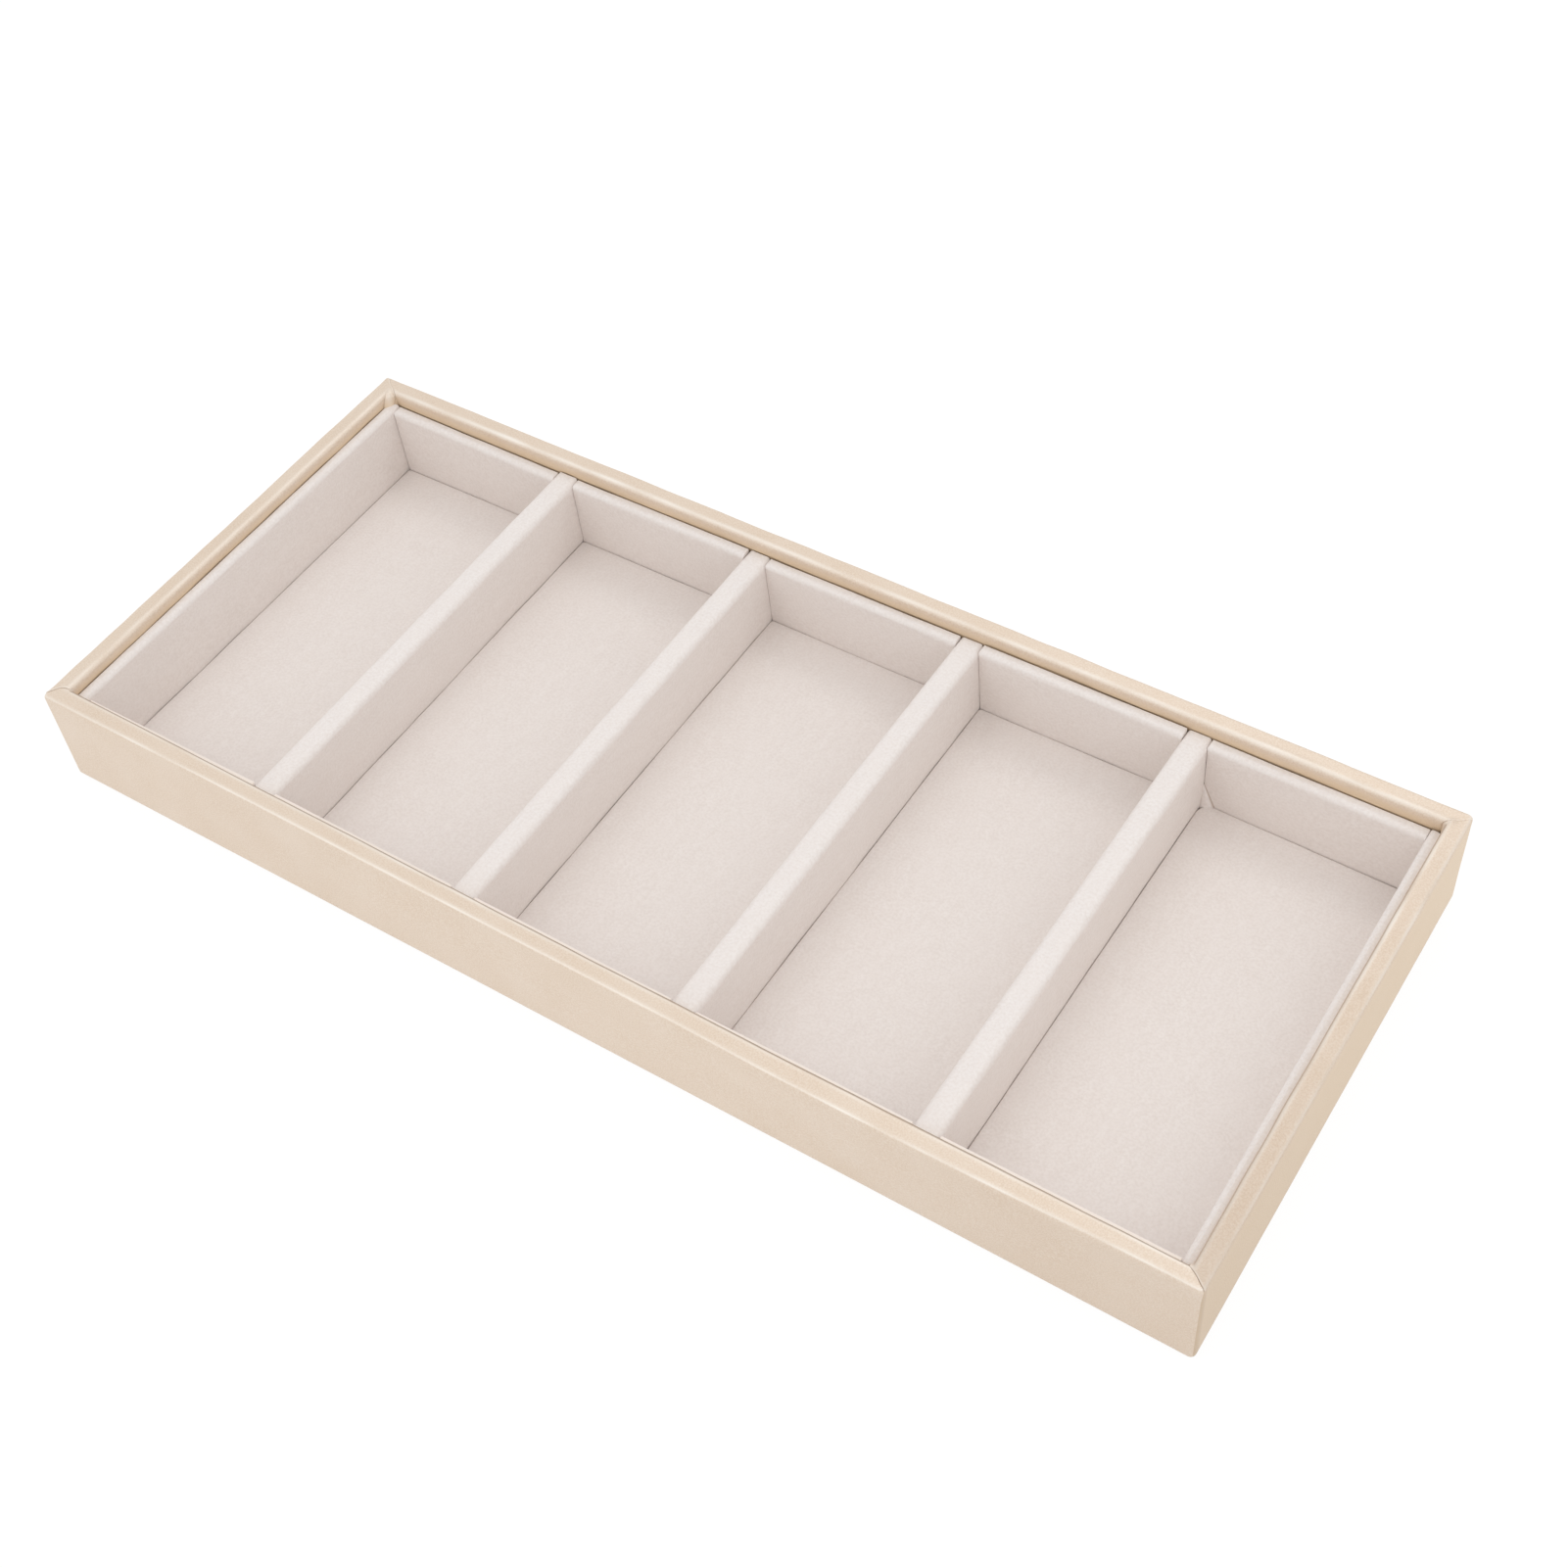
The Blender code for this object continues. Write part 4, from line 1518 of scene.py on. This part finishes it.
    def painted_shade_and_seam_lines(self, grid: Array) -> tuple[Array, Array]:
        """How golden the leather is by painted shade, and how brown along its seams and by painted shade along contact
        lines.

        The brown is the seams' dark lines, partly painted shadow in their grooves, and painted shade beside the webs,
        where the roll turns down in front and on the right, where the lining meets the leather, and thinly over the
        right rim and the front wall's right end.

        Args:
            grid: points by row and column.

        Returns:
            The shares of the golden and of the brown colour at each point.
        """
        x, y = grid[..., 0], grid[..., 1]
        low_wall = eased(self.drop, 0.2 * MM, 1.6 * MM) * (self.inset < 1 * MM)
        right_wall = (self.signs[:, 0] > 0) & (np.where(self.nominal < 0, 1, -1) == self.signs[:, 1])
        on_right = eased(x, self.inner[0], self.inner[0] + 1.2 * MM) * self.outer * right_wall
        # Painted shade: golden, deepening down the inner face, and over the outside of the right wall.
        inside = self.inner_face * (1 - eased(self.z, self.top - 4.6 * MM, self.top - 0.8 * MM))
        shaded = np.maximum(inside, 0.8 * on_right * low_wall)

        # The seams' dark line: a dark joint between the strips, with painted shadow in its groove.
        open_seam = np.maximum(self.over_rim, 0.8 * self.inner_face) + self.on_wall * self.end_joint
        line = bell(self.gap + 0.05 * MM, 0.15 * MM) * open_seam
        line = line * np.where(self.inner_face > 0, 0.6, self.by_corner("drawn"))
        # Painted shade beside the webs.
        off_web = np.abs(self.distance) - self.own
        beside = bell(np.maximum(off_web, 0), 1.1 * MM) * self.wide * (off_web > 0) * (self.own > 0.5 * MM)
        # Painted shade where the roll turns down out of sight, in front and on the right.
        at_front = (y < 1 * MM - self.inner[1]) & (np.abs(x) < self.inner[0])
        at_right = (x > self.inner[0] - 1 * MM) & (np.abs(y) < self.inner[1])
        turned = 0.68 * eased(self.drop, 0.06 * MM, 0.26 * MM) * at_front
        turned = turned + 0.55 * eased(self.drop, 0.2 * MM, 0.5 * MM) * at_right
        turned = turned * (1 - eased(self.drop, 0.65 * MM, 1.1 * MM))
        # Painted contact shadow where the lining's top meets the leather.
        by_lining = eased(self.interior.level_by(grid) + 0.18 * MM - grid[..., 2], 0.0, 0.25 * MM)
        hollow = np.maximum(turned, 0.6 * by_lining) * self.inner_face
        # Painted shade over the right rim, more towards the front, and on the front wall's right end.
        painted_dark = self.right_painted_shade * on_right * (0.6 - 0.4 * y / self.half[1])
        painted_dark = painted_dark + 0.11 * eased(x, 0.04, self.half[0]) * (y < 2.5 * MM - self.half[1]) * low_wall
        lines = np.maximum(line, 0.7 * self.pinch)
        return shaded, np.clip(np.maximum(lines, np.maximum(hollow, painted_dark) + 0.2 * beside * (1 - hollow)), 0, 1)

    def build(self) -> None:
        """Builds the whole strip as one closed band."""
        grid = self.placed()
        self.press_inner_face(grid)
        grid[..., 1] -= self.bulge_of_front(grid)
        height = sum([*self.folds(), *self.unevenness(grid)], self.seams())
        grid = grid + outward(grid) * height[..., None]
        self.lower_right_rim(grid)
        shaded, seam = self.painted_shade_and_seam_lines(grid)
        marks = {"pulled_and_highlit": self.pulled_and_highlit(grid), "shaded": shaded, "seam": seam}
        piece = mesh_piece("leather_wrap_strip", grid, self.finish, True, marks)
        settle(piece, "case", Slot.LEATHERETTE, "leather_wrap")


# Lining, dividers and tuck


@dataclass
class SuedeLining:
    """The suede-covered cards: liners on the four walls and a pad on each compartment's floor.

    Attributes:
        interior: where they stand.
        finish: the suede's material.
        stock: the cards' material.
        liner_round: radius of the back and end liners' open top edges.
        front_round: radius of the front liners'.
        crisp: radius of the top edges that press on a neighbour.
        edge: radius of the liners' upright edges.
        outer_corner: radius of the right liner's upright edge in the tray's corner at the back.
        floor_round: radius of the pads' top edges.
        square_corner: radius of the pads' upright edges.
        back_corner: radius of the pads' back edge on the left.
        loose_corner: radius of that edge where the suede is loose.
    """

    interior: Interior
    finish: bpy.types.Material
    stock: bpy.types.Material
    liner_round: float = 1.7 * MM
    front_round: float = 0.3 * MM
    crisp: float = 0.35 * MM
    edge: float = 0.35 * MM
    outer_corner: float = 2.5 * MM
    floor_round: float = 0.5 * MM
    square_corner: float = 0.8 * MM
    back_corner: float = 1.1 * MM
    loose_corner: float = 4.5 * MM

    def build(self) -> None:
        """Builds every liner and pad."""
        last = self.interior.compartments
        for number in range(1, last + 1):
            self.liner("back_liner", f"_{number}", self.interior.back_liner(number), -math.pi / 2, 110 + number)
            self.liner("front_liner", f"_{number}", self.interior.front_liner(number), math.pi / 2, 130 + number)
            self.pad(number, self.loose_corner if number == last else self.back_corner)
        self.liner("left_liner", "", self.interior.end_liner("left"), 0.0, 300)
        self.liner("right_liner", "", self.interior.end_liner("right"), math.pi, 301)

    def pad(self, number: int, left_back: float) -> None:
        """Builds one floor pad.

        Args:
            number: its number, from the left.
            left_back: radius of its back corner on the left.
        """
        cover = Cover(
            node=f"floor_suede_{number}",
            card=f"floor_card_{number}",
            body="case",
            block=self.interior.pad(number),
            soft_sides=(0.0, math.pi / 2, math.pi, -math.pi / 2),
            rounding=self.floor_round,
            crisp=self.floor_round,
            corner=(self.square_corner, left_back, self.square_corner, self.square_corner),
            crown=0.1 * MM,
            upright=False,
            seed=200 + number,
        )
        cover.build(self.finish, self.stock)

    def liner(self, stem: str, tail: str, block: Block, soft_side: float, seed: int) -> None:
        """Builds one liner that stands against a wall.

        Args:
            stem: the first part of its nodes' names.
            tail: the last part of them.
            block: the space that it fills.
            soft_side: the direction that its open face looks, as an angle.
            seed: picks its unevenness.
        """
        in_front = stem == "front_liner"
        cover = Cover(
            node=f"{stem}_suede{tail}",
            card=f"{stem}_card{tail}",
            body="case",
            block=block,
            soft_sides=(soft_side,),
            rounding=self.front_round if in_front else self.liner_round,
            crisp=self.crisp,
            corner=(self.outer_corner if stem == "right_liner" else self.edge, self.edge, self.edge, self.edge),
            crown=0.08 * MM,
            upright=True,
            seed=seed,
            # The front liners' top edge gets a painted highlight.
            crest=0.8 if in_front else 0.0,
        )
        cover.build(self.finish, self.stock)


@dataclass
class Dividers:
    """The suede-covered boards between the compartments, each on a body of its own.

    Attributes:
        interior: where they stand.
        finish: the suede's material.
        stock: the boards' material.
        count: how many there are.
        rounding: radius of their long top edges.
        crisp: radius of the top edges at their ends.
        end_round: radius of their upright edges.
    """

    interior: Interior
    finish: bpy.types.Material
    stock: bpy.types.Material
    count: int = 4
    rounding: float = 2.2 * MM
    crisp: float = 0.6 * MM
    end_round: float = 1.2 * MM

    def build(self) -> None:
        """Builds each divider's cover and board."""
        for number in range(1, self.count + 1):
            cover = Cover(
                node=f"divider_suede_{number}",
                card=f"divider_board_{number}",
                body=f"divider_{number}",
                block=self.interior.divider(number),
                soft_sides=(0.0, math.pi),
                rounding=self.rounding,
                crisp=self.crisp,
                corner=(self.end_round,) * 4,
                crown=0.12 * MM,
                upright=True,
                seed=400 + number,
                folded=True,
            )
            cover.build(self.finish, self.stock)


@dataclass
class CornerTuck:
    """A loose fold of suede in the foot of the last back corner by a divider, where the liner was cut too long.

    Attributes:
        interior: where its neighbours stand.
        finish: the suede's material.
        along_liner: how far it reaches along the liner at the pad's top.
        along_divider: how far it reaches along the divider there.
        height: how far its tip stands above the pad.
        bulge: how far it stands off the flat between the two.
        skin: thickness of the suede.
        cut: the piece that it is cut out of, flat.
        cut_area: area of the narrow triangle that it is, flat.
    """

    interior: Interior
    finish: bpy.types.Material
    along_liner: float = 4.6 * MM
    along_divider: float = 1.9 * MM
    height: float = 10.0 * MM
    bulge: float = 0.4 * MM
    skin: float = 0.4 * MM
    cut: tuple[float, float] = (0.010, 0.011)
    cut_area: float = 0.000034

    def build(self) -> None:
        """Builds the fold as a small web that cuts the corner off.

        With v from the tip down and u from the divider's face to the liner's: the web runs straight between
        the two faces, v times its reach along each, and stands off by the bulge times sin(pi u) v^0.5. It
        ends on the liner in an open folded edge.
        """
        last = self.interior.compartments
        block = self.interior.back_liner(last)
        pad_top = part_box(f"floor_suede_{last}")[1].z
        v, u = np.meshgrid(np.linspace(0.02, 1.12, 34), np.linspace(0, 1, 17), indexing="ij")
        z = pad_top + (1 - v) * self.height
        share = (z - block.low) / (block.tops[1] - block.low)
        face = block.foot[2, 1] * (1 - share) + block.head[2, 1] * share
        side = self.interior.side(last - 1, 1, block.head[2, 1], True)
        x = side - 0.1 * MM + u * (v * self.along_liner + 0.1 * MM)
        y = face - (1 - u) * v * self.along_divider - 0.12 * MM * u
        stand = self.bulge * np.sin(math.pi * u) * np.sqrt(v)
        web = np.stack([x + 0.4 * stand, y - 0.9 * stand, z], -1)
        behind = web[:, ::-1] + np.array([0.0, self.skin, 0.0])
        grid = np.concatenate([web, behind], 1)
        tip, base = (np.repeat(row.mean(1, keepdims=True), grid.shape[1], 1) for row in (grid[:1], grid[-1:]))
        shown = np.concatenate([u, u[:, ::-1]], 1)
        shown = np.concatenate([shown[-1:], shown[::-1], shown[:1]])
        # Painted shadow along the fold's edges, and a painted highlight on its raised ridge.
        edge = np.maximum(bell(shown - 1, 0.11), 0.45 * bell(shown, 0.14))
        marks = {"stretched_and_highlit": 1.3 * bell(shown - 0.76, 0.12), "crease_and_gap_shade": edge}
        closed = np.concatenate([base, grid[::-1], tip])
        piece = mesh_piece(f"back_liner_{last}_suede_tuck", closed, self.finish, False, marks)
        settle(piece, "case", Slot.SUEDE)


# Boards and the underside


@dataclass
class BoardShell:
    """The wall boards and the base board, whose solids stay, and the backing sheet under them.

    Attributes:
        wood: the boards' material.
        backing: the sheet's material.
        sheet_corner: radius of the sheet's corners.
    """

    wood: bpy.types.Material
    backing: bpy.types.Material
    sheet_corner: float = 2.0 * MM

    def dress(self) -> None:
        """Gives each board of the shell its finish."""
        for name, node in frame["nodes"].items():
            if name.endswith("_board"):
                node.data.materials.clear()
                node.data.materials.append(self.wood)
                log.info("%s is dressed as %s", name, self.wood.name)

    def build_backing(self) -> None:
        """Builds the sheet that closes the underside, slightly uneven where it is glued over the turned-in edges.

        A rounded rectangle drawn in row by row to its middle line, on both faces. The lower face keeps flat
        and the upper one is uneven by 0.02 mm.
        """
        low, high = (np.array(corner, float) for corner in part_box("bottom_sheet"))
        half = (high - low)[:2] / 2
        middle, edge, count, cut = half.min(), 0.15 * MM, 24, 0.1 * MM
        steps = np.concatenate([np.linspace(middle, edge, count), [0.0, 0.0], np.linspace(edge, middle, count)])
        level = np.repeat([low[2], low[2] + cut, high[2] - cut, high[2]], [count, 1, 1, count])[:, None]
        rings, _ = rounded_rings(half, steps, (self.sheet_corner,) * 4, (4 * MM, 4 * MM))
        grid = np.dstack([rings, np.broadcast_to(level, rings.shape[:2])])
        grid[..., 2] += 0.02 * MM * ripple(grid, 18 * MM, 71) * (level > high[2] - 0.01 * MM)
        piece = mesh_piece("bottom_sheet_paper", grid, self.backing, False, {})
        settle(piece, "case", Slot.BACKING, "bottom_sheet")


# Studio


@dataclass
class Studio:
    """A white table, soft daylight and the camera of the photograph.

    Attributes:
        azimuth: degrees of the camera round the tray from the front, towards the right.
        elevation: degrees of the camera above the table.
        roll: degrees that the camera is turned about its own axis.
        distance: metres from the target, as a multiple of the tray's length.
        target: the point on the table that the camera looks at, likewise.
        focal_pixels: focal length in pixels of the photograph.
        sensor: the sensor's width in millimetres.
        sky: strength of the sky's light.
        table_half: half the table's width.
        lamps: name, place, width and power of each lamp.
    """

    azimuth: float = 37.47453
    elevation: float = 50.38495
    roll: float = -6.12474
    distance: float = 1.78862 * TRAY_LENGTH
    target: tuple[float, float, float] = (0.00863 * TRAY_LENGTH, 0.05992 * TRAY_LENGTH, 0.0)
    focal_pixels: float = 2309.885
    sensor: float = 36.0
    sky: float = 0.84
    table_half: float = 3.0
    lamps: tuple[tuple, ...] = (
        ("overhead_softbox", (-0.3, -0.42, 0.85), 0.4, 0.75),
        ("back_softbox", (0.02, 0.6, 0.9), 0.35, 1.0),
        ("front_fill", (-0.24, -0.48, 0.3), 0.45, 0.14),
        ("right_fill", (0.5, -0.1, 0.38), 0.4, 0.34),
    )

    def camera(self) -> None:
        """Sets up the camera."""
        turn, tilt, spin = (math.radians(angle) for angle in (self.azimuth, self.elevation, self.roll))
        back = Vector((math.sin(turn) * math.cos(tilt), -math.cos(turn) * math.cos(tilt), math.sin(tilt)))
        level = Vector((0, 0, 1)).cross(back).normalized()
        upright = back.cross(level)
        right = math.cos(spin) * level + math.sin(spin) * upright
        up = -math.sin(spin) * level + math.cos(spin) * upright
        data = bpy.data.cameras.new("photo_camera")
        data.sensor_width = self.sensor
        data.lens = self.focal_pixels * self.sensor / IMAGE_SIDE
        data.clip_start, data.clip_end = 0.01, 50
        camera = add_object("photo_camera", data)
        camera.matrix_world = Matrix((right, up, back)).transposed().to_4x4()
        camera.location = Vector(self.target) + self.distance * back
        bpy.context.scene.camera = camera

    def lamp(self, name: str, place: tuple[float, float, float], size: float, power: float) -> None:
        """Adds a square soft white lamp that faces the tray.

        Args:
            name: its name.
            place: where it stands.
            size: its width.
            power: its power in watts.
        """
        data = bpy.data.lights.new(name, "AREA")
        data.size = size
        data.energy = power
        lamp = add_object(name, data)
        lamp.location = place
        lamp.rotation_euler = Vector(place).to_track_quat("Z", "Y").to_euler()

    def seen_white(self, tree: bpy.types.NodeTree) -> bpy.types.NodeSocket:
        """Tells the rays that see the background: from the camera, off a gloss or through glass.

        Args:
            tree: the material's tree.

        Returns:
            An output that is 1 for those rays and 0 for others.
        """
        path = put(tree, "ShaderNodeLightPath")
        seen = path.outputs["Is Camera Ray"]
        for ray in ("Is Glossy Ray", "Is Transmission Ray"):
            seen = put(tree, "ShaderNodeMath", {0: seen, 1: path.outputs[ray]}, operation="MAXIMUM").outputs[0]
        return seen

    def world(self) -> None:
        """An even sky that lights at its own level and is seen as white."""
        world = bpy.data.worlds.new("studio_white")
        world.use_nodes = True
        tree = world.node_tree
        tree.nodes.clear()
        seen = put(tree, "ShaderNodeLightPath").outputs["Is Camera Ray"]
        strength = put(tree, "ShaderNodeMapRange", {0: seen, 3: self.sky, 4: 1.0}).outputs[0]
        sky = put(tree, "ShaderNodeBackground", {0: linear("FFFFFF"), 1: strength})
        put(tree, "ShaderNodeOutputWorld", {"Surface": sky.outputs[0]})
        bpy.context.scene.world = world

    def table(self) -> None:
        """A wide white table, 0.02 mm under the tray, that keeps a faint shadow."""
        mesh = bpy.data.meshes.new("table")
        corners = [(x * self.table_half, y * self.table_half, -0.02 * MM) for x, y in FROM_BACK_RIGHT]
        mesh.from_pydata(corners, [], [(0, 1, 2, 3)])
        material = new_material("white_table")
        tree = material.node_tree
        matt = put(tree, "ShaderNodeBsdfDiffuse", {0: linear("FAFAFA")}).outputs[0]
        glow = put(tree, "ShaderNodeEmission", {0: linear("FFFFFF"), 1: 1.04}).outputs[0]
        share = put(tree, "ShaderNodeMapRange", {0: self.seen_white(tree), 3: 0.4, 4: 0.86}).outputs[0]
        mixed = put(tree, "ShaderNodeMixShader", {0: share, 1: matt, 2: glow})
        put(tree, "ShaderNodeOutputMaterial", {"Surface": mixed.outputs[0]})
        mesh.materials.append(material)
        add_object("table", mesh)

    def build(self) -> None:
        """Sets up the whole studio."""
        self.camera()
        self.world()
        self.table()
        for lamp in self.lamps:
            self.lamp(*lamp)
        bpy.context.scene.view_settings.view_transform = "Standard"


def main() -> None:
    """Builds the tray's looks in order and reports each piece."""
    logging.basicConfig(level=logging.INFO, format="%(message)s", force=True)
    leatherette = PearlLeatherette().make()
    suede = MicroSuede().make()
    greyboard = FibreStock().make()
    fibreboard = FibreStock("fibreboard", "A98B68", "8C6F4F", "C2A684", 0.8).make()
    backing = FibreStock("backing_paper", "CDBBA6", "BDA991", "DCCDBB", 0.9).make()
    interior = Interior()
    LeatherWrap(leatherette, interior).build()
    SuedeLining(interior, suede, greyboard).build()
    Dividers(interior, suede, fibreboard).build()
    CornerTuck(interior, suede).build()
    shell = BoardShell(fibreboard, backing)
    shell.dress()
    shell.build_backing()
    Studio().build()


if __name__ == "__main__":
    main()
